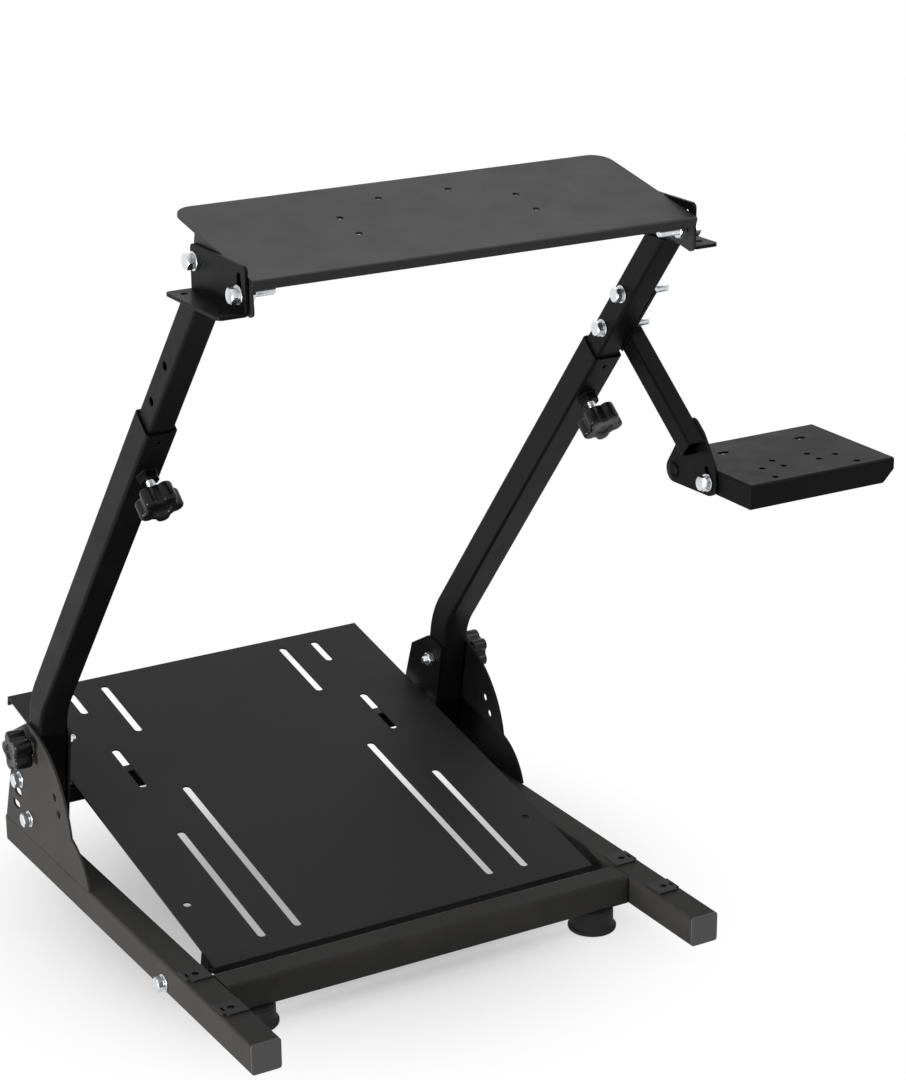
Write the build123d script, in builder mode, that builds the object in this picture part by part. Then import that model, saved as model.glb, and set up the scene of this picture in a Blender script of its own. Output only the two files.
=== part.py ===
from build123d import *
import os
from math import atan2, cos, degrees, hypot, radians, sin, tan

# A folding steel stand. Drawn with x = 0 on its mid-plane, y = 0 on the rails' front caps
# and z = 0 on the floor, then moved so that the origin is the bottom centre of its box.
# The driver sits on the -Y side and faces +Y. All sizes are in millimetres.

# Square tubes
tube_corner = 3.0
inner_corner_least = 0.4

# Outer radius of a folded sheet's bend, as a share of its thickness
bend_share = 0.9

# Base rails, cross tubes, end caps and feet
base_width = 500.0
rail_length = 565.0
rail_size = 30.0
rail_wall = 1.5
cap_flange = 2.0
cap_plug_depth = 12.0
cap_clearance = 0.2
foot_height = 23.0
foot_top_radius = 21.0
foot_bottom_radius = 24.0
foot_edge_round = 2.0
front_foot_inset = 63.0
rear_foot_spread = 95.0
front_cross_setback = 123.6
rear_cross_size = 20.0
rear_cross_wall = 1.5
rear_cross_ahead = 13.0
rear_cross_lift = 7.0

# Slotted strips welded across the rails' tops
tab_places = (70.0, 144.0)
tab_length = 24.0
tab_width = 25.0
tab_thick = 2.0
tab_hole_radius = 3.5
tab_slot_length = 8.0
tab_slot_width = 2.5
tab_notch = 4.0

# Gusset plates in pairs, with the upright folding between them
gusset_thick = 2.5
gusset_side_gap = 0.5
gusset_sweep_radius = 107.5
gusset_lobe_radius = 61.7
gusset_lobe_ahead = 86.0
gusset_lobe_drop = 39.0
gusset_rear_reach = 67.0
gusset_rear_top_reach = 29.0
gusset_rear_top_rise = 88.0
gusset_top_slant = 29.2
gusset_band_depth = 25.0
gusset_band_ahead = 12.0
gusset_inner_edge = 1.0
lock_radius = 85.4
index_angles = (44.0, 56.0)

# Uprights, bent from square tube, and the tubes that slide in them
pivot_back = 498.0
pivot_lift = 22.0
upright_size = 30.0
upright_wall = 2.0
upright_inset = 3.0
lower_lean = 10.0
upper_lean = 38.4
lower_length = 133.8
upper_length = 469.3
upright_tail = 8.0
bend_radius = 80.0
slide_clearance = 0.5
inner_wall = 1.5
inner_insert = 200.0
inner_show = 162.6
cross_hole_first = 30.5
cross_hole_pitch = 50.0

# Height clamps: a welded nut, a stud and a star knob on each upright's front face
clamp_drop = 60.0
clamp_nut_flats = 17.0
clamp_nut_height = 8.0
clamp_knob_standoff = 17.0
clamp_tip_gap = 0.3
dimple_drop = 13.0
dimple_radius = 2.5

# Star knobs
knob_lobes = 5
knob_core_radius = 14.0
knob_lobe_pitch = 14.5
knob_lobe_radius = 6.5
knob_valley_round = 1.5
knob_edge_round = 2.0
knob_thick = 18.0
knob_neck_radius = 8.5
knob_neck_length = 4.0

# M8 fasteners
bolt_radius = 4.0
bolt_hole_clearance = 0.3
pin_clearance = 0.05
washer_radius = 8.4
washer_thick = 1.6
spring_washer_radius = 6.8
spring_washer_thick = 2.0
head_flats = 13.0
head_height = 5.3
nut_height = 6.5
thin_nut_height = 4.0
bolt_tail = 5.0

# Pedal tray
tray_side_gap = 5.0
tray_length = 502.0
tray_slope = 11.4
tray_front_back = 157.0
tray_front_lift = 48.0
tray_sheet = 2.0
tray_rear_flange = 10.0
tray_front_lip = 8.0
tray_slot_width = 8.5
tray_slot_columns = {
    107.0: ((27.0, 280.0), (390.0, 484.0)),
    146.0: ((25.0, 210.0), (294.0, 368.0), (441.0, 483.0)),
}
tray_hole_inset = 18.5
tray_hole_along = 98.5
tray_hole_radius = 4.0
tray_pivot_back = 181.0
tray_pivot_lift = 33.0
tray_lug_radius = 8.0
tray_bolt_back = 20.0
tray_bolt_rise = 36.0
tray_bolt_stop = 1.0
tray_slot_steps = ((30.0, 19.0), (36.0, 3.0))
tray_step_length = 18.0
sleeve_radius = 6.0

# Top brackets and the tilting wheel plate
bracket_thick = 3.0
bracket_width = 28.0
bracket_height = 42.0
bracket_front = 20.0
bracket_rear = 122.0
bracket_fold_round = 4.0
bracket_corner = 5.0
bracket_hole_inset = 15.0
bracket_hole_out = 17.0
bracket_hole_radius = 3.5
bracket_outset = 13.0
tilt_back = 115.0
tilt_rise = 27.6
tilt_bolt_reach = 83.8
tilt_bolt_rise = 5.5
tilt_range = 10.0
slot_clearance = 0.3
plate_side_gap = 0.5
plate_sheet = 2.5
plate_slope = 11.5
plate_rise = 23.5
plate_front_reach = 99.0
plate_rear_reach = 57.0
plate_corner = 18.0
plate_front_flange = 9.0
plate_ear_rear = 9.0
plate_ear_drop = 9.3
plate_ear_lead = 4.5
plate_ear_corner = 5.0
plate_hole_radius = 3.25
plate_hole_places = ((88.0, -4.3), (88.0, -38.8), (35.0, 24.1))
tilt_stud_tail = 20.0

# Arm and plate at the driver's right hand
mount_low = 8.0
mount_high = 92.0
mount_thick = 3.0
arm_size = 20.0
arm_wall = 1.5
arm_height = 13.5
arm_length = 138.2
arm_bolt_tail = 17.0
end_thick = 3.0
end_pad_radius = 10.0
end_pad_back = 22.0
end_pivot_radius = 12.0
end_slot_radius = 13.0
side_plate_width = 166.0
side_plate_gap = 0.5
side_plate_sheet = 2.5
side_plate_front = 118.0
side_plate_rear = 9.0
side_plate_rise = 15.5
side_plate_flange = 23.0
side_flange_chamfer = 12.0
side_hole_radius = 3.25
side_hole_places = ((42.7, -80.0), (20.5, -65.8), (20.5, -83.8), (47.3, -107.0))
side_slot_place = (45.0, -21.4)
side_slot_length = 12.0
side_slot_width = 7.0
side_pivot_ahead = 46.0
side_pivot_drop = 34.5
side_bolt_ahead = 55.4
side_bolt_rise = 2.5
side_tilt_range = 12.0
pin_head_radius = 8.0
pin_head_height = 3.0

# Levels, axes and directions worked out from the sizes above
sides = (("left", -1), ("right", 1))
rail_top = foot_height + rail_size
rail_axis_lift = foot_height + rail_size / 2
rail_axis_x = (base_width - rail_size) / 2
rail_rear = cap_flange + rail_length
outer_face = base_width / 2
upright_outer = outer_face - upright_inset
upright_axis_x = upright_outer - upright_size / 2
outer_gusset_x = upright_outer + gusset_side_gap
inner_gusset_x = upright_outer - upright_size - gusset_side_gap
gusset_outside = outer_gusset_x + gusset_thick
gusset_inside = inner_gusset_x - gusset_thick
pivot = Vector(0, pivot_back, rail_top + pivot_lift)
lower_way = Vector(0, -sin(radians(lower_lean)), cos(radians(lower_lean)))
upper_way = Vector(0, -sin(radians(upper_lean)), cos(radians(upper_lean)))
front_way = Vector(0, -cos(radians(upper_lean)), -sin(radians(upper_lean)))
upright_end = pivot - lower_way * upright_tail
knee = pivot + lower_way * lower_length
rim = knee + upper_way * upper_length
lock_point = pivot + lower_way * lock_radius
inner_size = upright_size - 2 * upright_wall - 2 * slide_clearance
inner_half = inner_size / 2
bolt_hole = bolt_radius + bolt_hole_clearance
pin_hole = bolt_radius + pin_clearance
tray_half_width = gusset_inside - tray_side_gap
tray_hole_x = tray_half_width - tray_hole_inset
tray_pivot = Vector(0, tray_pivot_back, tray_pivot_lift)
tray_bolt = pivot + Vector(0, tray_bolt_back, tray_bolt_rise)
bracket_lift = rim.Z + upper_way.Z * inner_show
bracket_inner = upright_axis_x - bracket_outset
bracket_outer = bracket_inner + bracket_thick
tilt_axis = Vector(0, tilt_back, bracket_lift + tilt_rise)
plate_way = Vector(0, cos(radians(plate_slope)), sin(radians(plate_slope)))
plate_up = Vector(0, -sin(radians(plate_slope)), cos(radians(plate_slope)))
tilt_bolt = tilt_axis - plate_way * tilt_bolt_reach + plate_up * tilt_bolt_rise
plate_half = bracket_inner - plate_side_gap
cross_holes = [rim + upper_way * (cross_hole_first + cross_hole_pitch * step) for step in range(2)]
arm_start = rim + upper_way * arm_height
arm_end = arm_start + front_way * arm_length
mount_x = upright_axis_x + inner_half
arm_x = mount_x + mount_thick + arm_size / 2
end_x = arm_x + arm_size / 2
side_pivot = arm_end + Vector(0, side_pivot_ahead, -side_pivot_drop)
side_bolt = side_pivot + Vector(0, -side_bolt_ahead, side_bolt_rise)
side_x = end_x + end_thick + side_plate_gap

pieces = {}


def across(x):
    """Give the plane x = constant, drawn on in (y, z) and raised towards +X."""
    return Plane.YZ.offset(x)


def facing(x, point, sign, upward=Vector(0, 0, 1)):
    """Give a plane at x through a point of the side view, facing +X or -X as the sign says."""
    return Plane(origin=(x, point.Y, point.Z), x_dir=upward.cross(Vector(1, 0, 0)), z_dir=(sign, 0, 0))


def on_front(sign, point):
    """Give the plane on one upright's sloping front face, at a point of the side view."""
    return Plane(origin=(sign * upright_axis_x, point.Y, point.Z), x_dir=(1, 0, 0), z_dir=front_way)


def side_view(point):
    """Give a point's place in a plane x = constant."""
    return (point.Y, point.Z)


def tube_section(size, wall):
    """Draw a hollow square section with rounded corners in the open sketch."""
    bore = size - 2 * wall
    RectangleRounded(size, size, tube_corner)
    RectangleRounded(bore, bore, max(tube_corner - wall, inner_corner_least), mode=Mode.SUBTRACT)


def raise_disc(plane, radius, height):
    """Add a disc to the open part, raised from the plane."""
    with BuildSketch(plane) as disc:
        Circle(radius)
    extrude(disc.sketch, amount=height)


def raise_hexagon(plane, flats, height):
    """Add a hexagon to the open part, raised from the plane."""
    with BuildSketch(plane) as hexagon:
        RegularPolygon(flats / 2, 6, major_radius=False)
    extrude(hexagon.sketch, amount=height)


def drill(plane, radius, depth):
    """Cut a round hole into the open part, from the plane and against its normal."""
    with BuildSketch(plane) as hole:
        Circle(radius)
    extrude(hole.sketch, amount=-depth, mode=Mode.SUBTRACT)


def bolt_head(seat):
    """Add a flat washer, a spring washer and a hexagon head to the open part, on the seat."""
    raise_disc(seat, washer_radius, washer_thick)
    raise_disc(seat.offset(washer_thick), spring_washer_radius, spring_washer_thick)
    raise_hexagon(seat.offset(washer_thick + spring_washer_thick), head_flats, head_height)


def bolt_nut(seat, height, tail):
    """Add a nut and the bolt's free end to the open part, on the seat."""
    raise_hexagon(seat, head_flats, height)
    raise_disc(seat, bolt_radius, height + tail)


def arc_slot(x, depth, centre, start, turn):
    """Cut a curved slot for a bolt that swings up from its start about a centre."""
    run = start - centre
    low = degrees(atan2(run.Z, run.Y))
    path = Edge.make_circle(hypot(run.Y, run.Z), Plane((*side_view(centre), 0)), low - turn, low)
    with BuildSketch(across(x)) as slot:
        SlotArc(path, 2 * (bolt_radius + slot_clearance))
    extrude(slot.sketch, amount=depth, mode=Mode.SUBTRACT)


# Rails with the tray's pivot holes, and the caps in their ends
for side, sign in sides:
    with BuildPart() as rail:
        rail_start = (sign * rail_axis_x, cap_flange, rail_axis_lift)
        with BuildSketch(Plane(origin=rail_start, x_dir=(1, 0, 0), z_dir=(0, 1, 0))):
            tube_section(rail_size, rail_wall)
        extrude(amount=rail_length)
        drill(facing(sign * outer_face, tray_pivot, sign), bolt_hole, rail_size)
    pieces[f"{side}_rail"] = rail.part

with BuildPart() as rail_end_caps:
    for side, sign in sides:
        for end_y, way in ((cap_flange, -1), (rail_rear, 1)):
            cap_seat = Plane(
                origin=(sign * rail_axis_x, end_y, rail_axis_lift),
                x_dir=(1, 0, 0),
                z_dir=(0, way, 0),
            )
            with BuildSketch(cap_seat):
                RectangleRounded(rail_size, rail_size, tube_corner)
            extrude(amount=cap_flange)
            with BuildSketch(cap_seat):
                plug = rail_size - 2 * rail_wall - 2 * cap_clearance
                RectangleRounded(plug, plug, max(tube_corner - rail_wall, inner_corner_least))
            extrude(amount=-cap_plug_depth)
pieces["rail_end_caps"] = rail_end_caps.part

# Cross tubes
with BuildPart() as front_cross_tube:
    front_cross_start = (rail_size - outer_face, front_cross_setback, rail_axis_lift)
    with BuildSketch(Plane(origin=front_cross_start, x_dir=(0, 1, 0), z_dir=(1, 0, 0))):
        tube_section(rail_size, rail_wall)
    extrude(amount=base_width - 2 * rail_size)
pieces["front_cross_tube"] = front_cross_tube.part

rear_cross_back = pivot.Y + gusset_rear_reach - rear_cross_ahead
rear_cross_low = rail_top + rear_cross_lift
with BuildPart() as rear_cross_tube:
    rear_cross_start = (-gusset_inside, rear_cross_back, rear_cross_low + rear_cross_size / 2)
    with BuildSketch(Plane(origin=rear_cross_start, x_dir=(0, 1, 0), z_dir=(1, 0, 0))):
        tube_section(rear_cross_size, rear_cross_wall)
    extrude(amount=2 * gusset_inside)
pieces["rear_cross_tube"] = rear_cross_tube.part

# Flared feet under both cross tubes
with BuildPart() as rubber_feet:
    for side, sign in sides:
        for foot_x, foot_y in (
            (outer_face - front_foot_inset, front_cross_setback),
            (rear_foot_spread, rear_cross_back),
        ):
            with Locations((sign * foot_x, foot_y, 0)):
                Cone(
                    foot_bottom_radius,
                    foot_top_radius,
                    foot_height,
                    align=(Align.CENTER, Align.CENTER, Align.MIN),
                )
    fillet(rubber_feet.edges().group_by(Axis.Z)[0], foot_edge_round)
pieces["rubber_feet"] = rubber_feet.part

# Levelling studs of the rear feet, each with a nut under the rear cross tube
with BuildPart() as rear_foot_studs:
    for side, sign in sides:
        stud_top = Plane((sign * rear_foot_spread, rear_cross_back, rear_cross_low), z_dir=(0, 0, -1))
        bolt_nut(stud_top, nut_height, rear_cross_low - foot_height - nut_height)
pieces["rear_foot_studs"] = rear_foot_studs.part

# Slotted strips across the rails' tops
with BuildPart() as rail_tabs:
    for side, sign in sides:
        for tab_y in tab_places:
            with BuildSketch(Plane.XY.offset(rail_top)):
                with Locations((sign * rail_axis_x, tab_y)):
                    Rectangle(tab_width, tab_length)
                    Circle(tab_hole_radius, mode=Mode.SUBTRACT)
                with Locations((sign * (rail_axis_x + tab_width / 2), tab_y - tab_length / 2)):
                    Rectangle(2 * tab_notch, 2 * tab_notch, mode=Mode.SUBTRACT)
                with Locations((sign * (rail_axis_x + tab_width / 2 - tab_notch), tab_y)):
                    SlotOverall(tab_slot_length, tab_slot_width, rotation=90, mode=Mode.SUBTRACT)
            extrude(amount=tab_thick)
pieces["rail_tabs"] = rail_tabs.part

# Gusset plates. Each is the disc swept about the pivot and the lobe ahead of it, cut off
# at the rail's top, along the sloping rear edge and along the slanted top. The inner plates
# end at the front of the uprights and have a band down to the rails.
lobe = pivot - Vector(0, gusset_lobe_ahead, gusset_lobe_drop)
gusset_front = lobe.Y - gusset_lobe_radius
gusset_rear_low = (pivot.Y + gusset_rear_reach, rail_top)
gusset_rear_high = (pivot.Y + gusset_rear_top_reach, pivot.Z + gusset_rear_top_rise)
gusset_peak = (
    gusset_front,
    gusset_rear_high[1] + (gusset_rear_high[0] - gusset_front) * tan(radians(gusset_top_slant)),
)
for side, sign in sides:
    for place, near_x, far_x in (
        ("outer", outer_gusset_x, gusset_outside),
        ("inner", gusset_inside, inner_gusset_x),
    ):
        with BuildPart() as gusset:
            with BuildSketch(across(sign * near_x)):
                with Locations(side_view(pivot)):
                    Circle(gusset_sweep_radius)
                with Locations(side_view(lobe)):
                    Circle(gusset_lobe_radius)
                with BuildLine():
                    Polyline(
                        (gusset_front, rail_top),
                        gusset_rear_low,
                        gusset_rear_high,
                        gusset_peak,
                        close=True,
                    )
                make_face(mode=Mode.INTERSECT)
            extrude(amount=sign * gusset_thick)
            if place == "inner":
                with BuildSketch(facing(sign * near_x, pivot, 1, lower_way)):
                    with Locations((-upright_size / 2 - gusset_inner_edge, 0)):
                        Rectangle(
                            2 * gusset_sweep_radius,
                            4 * gusset_sweep_radius,
                            align=(Align.MAX, Align.CENTER),
                        )
                extrude(amount=sign * gusset_thick, mode=Mode.SUBTRACT)
                band_rear = gusset_rear_low[0]
                band_front = pivot.Y - gusset_band_ahead
                with BuildSketch(across(sign * near_x)):
                    with Locations(((band_front + band_rear) / 2, rail_top - gusset_band_depth / 2)):
                        Rectangle(band_rear - band_front, gusset_band_depth)
                extrude(amount=sign * (outer_face - rail_size - near_x))
            hole_face = sign * far_x
            drill(facing(hole_face, pivot, sign), bolt_hole, gusset_thick)
            for turn in (0, *index_angles) if place == "outer" else (0,):
                lean = radians(lower_lean + turn)
                index_point = pivot + Vector(0, -sin(lean), cos(lean)) * lock_radius
                drill(facing(hole_face, index_point, sign), bolt_hole, gusset_thick)
            drill(facing(hole_face, tray_bolt, sign), bolt_hole, gusset_thick)
            for step_back, step_rise in tray_slot_steps:
                with BuildSketch(across(sign * near_x)):
                    with Locations((pivot.Y + step_back, pivot.Z + step_rise)):
                        SlotOverall(tray_step_length, 2 * bolt_hole)
                extrude(amount=sign * gusset_thick, mode=Mode.SUBTRACT)
        pieces[f"{side}_{place}_gusset"] = gusset.part

# Pivot bolts through each pair of gussets, from outside to a nut inside
with BuildPart() as fold_pivot_bolts:
    for side, sign in sides:
        bolt_head(facing(sign * gusset_outside, pivot, sign))
        raise_disc(facing(sign * gusset_outside, pivot, sign), bolt_radius, gusset_inside - gusset_outside)
        bolt_nut(facing(sign * gusset_inside, pivot, -sign), thin_nut_height, 0)
pieces["fold_pivot_bolts"] = fold_pivot_bolts.part

# Fold lock: the stud with its knob ends short of the upright, the nut is on the inner plate
with BuildPart() as fold_lock_studs:
    for side, sign in sides:
        stud_seat = facing(sign * gusset_outside, lock_point, sign)
        raise_disc(stud_seat, washer_radius, washer_thick)
        raise_disc(stud_seat, bolt_radius, -gusset_thick)
pieces["fold_lock_studs"] = fold_lock_studs.part

with BuildPart() as fold_lock_nuts:
    for side, sign in sides:
        nut_seat = facing(sign * gusset_inside, lock_point, -sign)
        bolt_nut(nut_seat, nut_height, bolt_tail)
        raise_disc(nut_seat, bolt_radius, -gusset_thick)
pieces["fold_lock_nuts"] = fold_lock_nuts.part

# Tray bolts: the front pair is the tray's pivot, the rear pair stops in the inner gussets
tray_lug_x = tray_half_width - tray_sheet
with BuildPart() as tray_pivot_bolts:
    for side, sign in sides:
        rail_seat = facing(sign * outer_face, tray_pivot, sign)
        bolt_head(rail_seat)
        raise_disc(rail_seat, bolt_radius, tray_lug_x - tray_bolt_stop - outer_face)
        sleeve_seat = facing(sign * (outer_face - rail_size), tray_pivot, -sign)
        sleeve_length = outer_face - rail_size - tray_half_width - gusset_side_gap
        raise_disc(sleeve_seat, sleeve_radius, sleeve_length)
        nut_seat = facing(sign * (tray_lug_x - tray_bolt_stop), tray_pivot, -sign)
        bolt_nut(nut_seat, nut_height, bolt_tail)
pieces["tray_pivot_bolts"] = tray_pivot_bolts.part

with BuildPart() as tray_rear_bolts:
    for side, sign in sides:
        rear_seat = facing(sign * gusset_outside, tray_bolt, sign)
        bolt_head(rear_seat)
        raise_disc(rear_seat, bolt_radius, gusset_inside - gusset_outside)
pieces["tray_rear_bolts"] = tray_rear_bolts.part

with BuildPart() as tray_lug_bolts:
    for side, sign in sides:
        lug_seat = facing(sign * tray_lug_x, tray_bolt, -sign)
        bolt_nut(lug_seat, nut_height, bolt_tail)
        raise_disc(lug_seat, bolt_radius, tray_lug_x - gusset_inside + tray_bolt_stop)
pieces["tray_lug_bolts"] = tray_lug_bolts.part

# Pedal tray: a sloping sheet with slots, bent front and rear edges and four lugs
slope = radians(tray_slope)
tray_front = Vector(0, tray_front_back, tray_front_lift)
tray_up = Vector(0, -sin(slope), cos(slope))
tray_plane = Plane(origin=tray_front, x_dir=(1, 0, 0), z_dir=tray_up)
with BuildPart() as pedal_tray:
    with BuildSketch(tray_plane):
        Rectangle(2 * tray_half_width, tray_length, align=(Align.CENTER, Align.MIN))
        for column, spans in tray_slot_columns.items():
            for start, stop in spans:
                with Locations((-column, (start + stop) / 2), (column, (start + stop) / 2)):
                    SlotOverall(stop - start, tray_slot_width, rotation=90, mode=Mode.SUBTRACT)
        with Locations((-tray_hole_x, tray_hole_along), (tray_hole_x, tray_hole_along)):
            Circle(tray_hole_radius, mode=Mode.SUBTRACT)
    extrude(amount=-tray_sheet)
    with BuildSketch(tray_plane):
        with Locations((0, tray_length)):
            Rectangle(2 * tray_half_width, tray_sheet, align=(Align.CENTER, Align.MAX))
    extrude(amount=-tray_rear_flange)
    with BuildSketch(tray_plane):
        Rectangle(2 * tray_half_width, tray_sheet, align=(Align.CENTER, Align.MIN))
    extrude(amount=-tray_front_lip)
    for side, sign in sides:
        for lug_point, lug_hole in ((tray_pivot, pin_hole), (tray_bolt, bolt_hole)):
            lug_drop = (tray_front - lug_point).dot(tray_up)
            with BuildSketch(facing(sign * tray_lug_x, lug_point, 1, tray_up)):
                Rectangle(2 * tray_lug_radius, lug_drop - tray_sheet, align=(Align.CENTER, Align.MIN))
                Circle(tray_lug_radius)
                Circle(lug_hole, mode=Mode.SUBTRACT)
            extrude(amount=sign * tray_sheet)
pieces["pedal_tray"] = pedal_tray.part

# Uprights: square tube bent once, with holes for the pivot, the fold lock and the height clamp
clamp_face = rim - upper_way * clamp_drop + front_way * (upright_size / 2)
dimple_face = rim - upper_way * dimple_drop + front_way * (upright_size / 2)
for side, sign in sides:
    axis_x = sign * upright_axis_x
    with BuildPart() as upright:
        with BuildLine(across(axis_x)) as bend:
            FilletPolyline(side_view(upright_end), side_view(knee), side_view(rim), radius=bend_radius)
        start = (axis_x, upright_end.Y, upright_end.Z)
        with BuildSketch(Plane(origin=start, x_dir=(1, 0, 0), z_dir=lower_way)):
            tube_section(upright_size, upright_wall)
        sweep(path=bend.wire())
        drill(facing(axis_x + upright_size / 2, pivot, 1), pin_hole, upright_size)
        drill(facing(axis_x + upright_size / 2, lock_point, 1), bolt_hole, upright_size)
        drill(on_front(sign, clamp_face), bolt_hole, upright_wall)
        drill(on_front(sign, dimple_face), dimple_radius, upright_wall)
    pieces[f"{side}_upright"] = upright.part

# Height clamps: a welded nut on each upright and a stud that presses on the inner tube
with BuildPart() as height_clamp_nuts:
    for side, sign in sides:
        clamp_seat = on_front(sign, clamp_face)
        raise_hexagon(clamp_seat, clamp_nut_flats, clamp_nut_height)
        drill(clamp_seat.offset(clamp_nut_height), pin_hole, clamp_nut_height)
pieces["height_clamp_nuts"] = height_clamp_nuts.part

with BuildPart() as height_clamp_studs:
    stud_reach = upright_size / 2 - inner_half - clamp_tip_gap
    for side, sign in sides:
        clamp_seat = on_front(sign, clamp_face)
        raise_disc(clamp_seat.offset(-stud_reach), bolt_radius, stud_reach + clamp_knob_standoff)
pieces["height_clamp_studs"] = height_clamp_studs.part

# Star knobs on the fold locks and the height clamps
knob_seats = {}
for side, sign in sides:
    knob_seats[f"{side}_fold_knob"] = facing(sign * (gusset_outside + washer_thick), lock_point, sign)
    knob_seats[f"{side}_height_knob"] = on_front(sign, clamp_face).offset(clamp_knob_standoff)
for name, seat in knob_seats.items():
    with BuildPart() as knob:
        with BuildSketch(seat.offset(knob_neck_length)) as star:
            Circle(knob_core_radius)
            with PolarLocations(knob_lobe_pitch, knob_lobes):
                Circle(knob_lobe_radius)
            fillet(star.vertices(), knob_valley_round)
        extrude(amount=knob_thick)
        knob_axis = Axis(seat.origin, seat.z_dir)
        knob_ends = knob.faces().sort_by(knob_axis)
        fillet(knob_ends[0].edges() + knob_ends[-1].edges(), knob_edge_round)
        with BuildSketch(seat):
            Circle(knob_neck_radius)
        extrude(amount=knob_neck_length)
    pieces[name] = knob.part

# Inner tubes, cut level under the top brackets
for side, sign in sides:
    axis_x = sign * upright_axis_x
    inner_start = rim - upper_way * inner_insert
    with BuildPart() as inner_tube:
        start = (axis_x, inner_start.Y, inner_start.Z)
        with BuildSketch(Plane(origin=start, x_dir=(1, 0, 0), z_dir=upper_way)):
            tube_section(inner_size, inner_wall)
        extrude(amount=(bracket_lift - inner_start.Z) / upper_way.Z + inner_size)
        split(bisect_by=Plane.XY.offset(bracket_lift), keep=Keep.BOTTOM)
        for point in cross_holes:
            drill(facing(axis_x + inner_half, point, 1), bolt_hole, inner_size)
    pieces[f"{side}_inner_tube"] = inner_tube.part

# Top brackets: angle plates with a pivot hole and a curved slot for the wheel plate
for side, sign in sides:
    with BuildPart() as top_bracket:
        with BuildSketch(Plane.XZ.offset(-bracket_front)) as angle:
            with Locations((sign * (bracket_inner + bracket_thick / 2), bracket_lift + bracket_height / 2)):
                Rectangle(bracket_thick, bracket_height)
            with Locations((sign * (bracket_inner + bracket_width / 2), bracket_lift + bracket_thick / 2)):
                Rectangle(bracket_width, bracket_thick)
            fold_corner = angle.vertices().sort_by_distance((sign * bracket_inner, bracket_lift))[0]
            fillet(fold_corner, bracket_fold_round)
        extrude(amount=bracket_front - bracket_rear)
        tips = top_bracket.edges().filter_by(Axis.Z).group_by(Axis.X)[-1 if sign > 0 else 0]
        fillet(tips, bracket_corner)
        fillet(top_bracket.edges().filter_by(Axis.X).group_by(Axis.Z)[-1], bracket_corner)
        drill(facing(sign * bracket_outer, tilt_axis, sign), bolt_hole, bracket_thick)
        arc_slot(sign * bracket_inner, sign * bracket_thick, tilt_axis, tilt_bolt, tilt_range)
        for hole_y in (bracket_front + bracket_hole_inset, bracket_rear - bracket_hole_inset):
            hole_x = sign * (bracket_inner + bracket_hole_out)
            drill(Plane((hole_x, hole_y, bracket_lift + bracket_thick)), bracket_hole_radius, bracket_thick)
    pieces[f"{side}_top_bracket"] = top_bracket.part

# Wheel plate: a sloping sheet with a bent front edge and an ear inside each top bracket
plate_top = Plane(origin=tilt_axis + plate_up * plate_rise, x_dir=(1, 0, 0), z_dir=plate_up)
with BuildPart() as wheel_plate:
    with BuildSketch(plate_top) as sheet:
        with Locations((0, (plate_rear_reach - plate_front_reach) / 2)):
            Rectangle(2 * plate_half, plate_front_reach + plate_rear_reach)
        fillet(sheet.vertices().group_by(Axis.Y)[-1], plate_corner)
        for hole_x, hole_y in plate_hole_places:
            with Locations((-hole_x, hole_y), (hole_x, hole_y)):
                Circle(plate_hole_radius, mode=Mode.SUBTRACT)
    extrude(amount=-plate_sheet)
    with BuildSketch(plate_top):
        with Locations((0, -plate_front_reach)):
            Rectangle(2 * plate_half, plate_sheet, align=(Align.CENTER, Align.MIN))
    extrude(amount=-plate_front_flange)
    top_face = wheel_plate.faces().sort_by(Axis(tilt_axis, plate_up))[-1]
    front_edge = top_face.edges().filter_by(Axis.X).sort_by(Axis(tilt_axis, plate_way))[0]
    fillet(front_edge, bend_share * plate_sheet)
    for side, sign in sides:
        ear_x = sign * (plate_half - plate_sheet)
        ear_tip = (-plate_front_reach - plate_ear_lead, -plate_ear_drop)
        with BuildSketch(facing(ear_x, tilt_axis, 1, plate_up)) as ear_outline:
            with BuildLine():
                Polyline(
                    (plate_sheet - plate_front_reach, plate_rise - plate_sheet),
                    (plate_sheet - plate_front_reach, plate_rise - plate_front_flange),
                    ear_tip,
                    (plate_ear_rear, -plate_ear_drop),
                    (plate_ear_rear, plate_rise - plate_sheet),
                    close=True,
                )
            make_face()
            fillet(ear_outline.vertices().sort_by_distance(ear_tip)[0], plate_ear_corner)
        extrude(amount=sign * plate_sheet)
        drill(facing(sign * plate_half, tilt_axis, sign), pin_hole, plate_sheet)
        drill(facing(sign * plate_half, tilt_bolt, sign), bolt_hole, plate_sheet)
pieces["wheel_plate"] = wheel_plate.part

# Bolts of the wheel plate: the rear pair is its pivot, the front pair slides in the slots
ear_inner = plate_half - plate_sheet
with BuildPart() as tilt_pivot_bolts:
    for side, sign in sides:
        tilt_seat = facing(sign * bracket_outer, tilt_axis, sign)
        bolt_head(tilt_seat)
        raise_disc(tilt_seat, bolt_radius, ear_inner - slot_clearance - bracket_outer)
        nut_seat = facing(sign * (ear_inner - slot_clearance), tilt_axis, -sign)
        bolt_nut(nut_seat, nut_height, bolt_tail)
pieces["tilt_pivot_bolts"] = tilt_pivot_bolts.part

with BuildPart() as tilt_slot_bolts:
    for side, sign in sides:
        slot_seat = facing(sign * (bracket_outer + slot_clearance), tilt_bolt, sign)
        bolt_head(slot_seat)
        raise_disc(slot_seat, bolt_radius, ear_inner - slot_clearance - bracket_outer)
        bolt_nut(facing(sign * ear_inner, tilt_bolt, -sign), nut_height, tilt_stud_tail)
pieces["tilt_slot_bolts"] = tilt_slot_bolts.part

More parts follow.
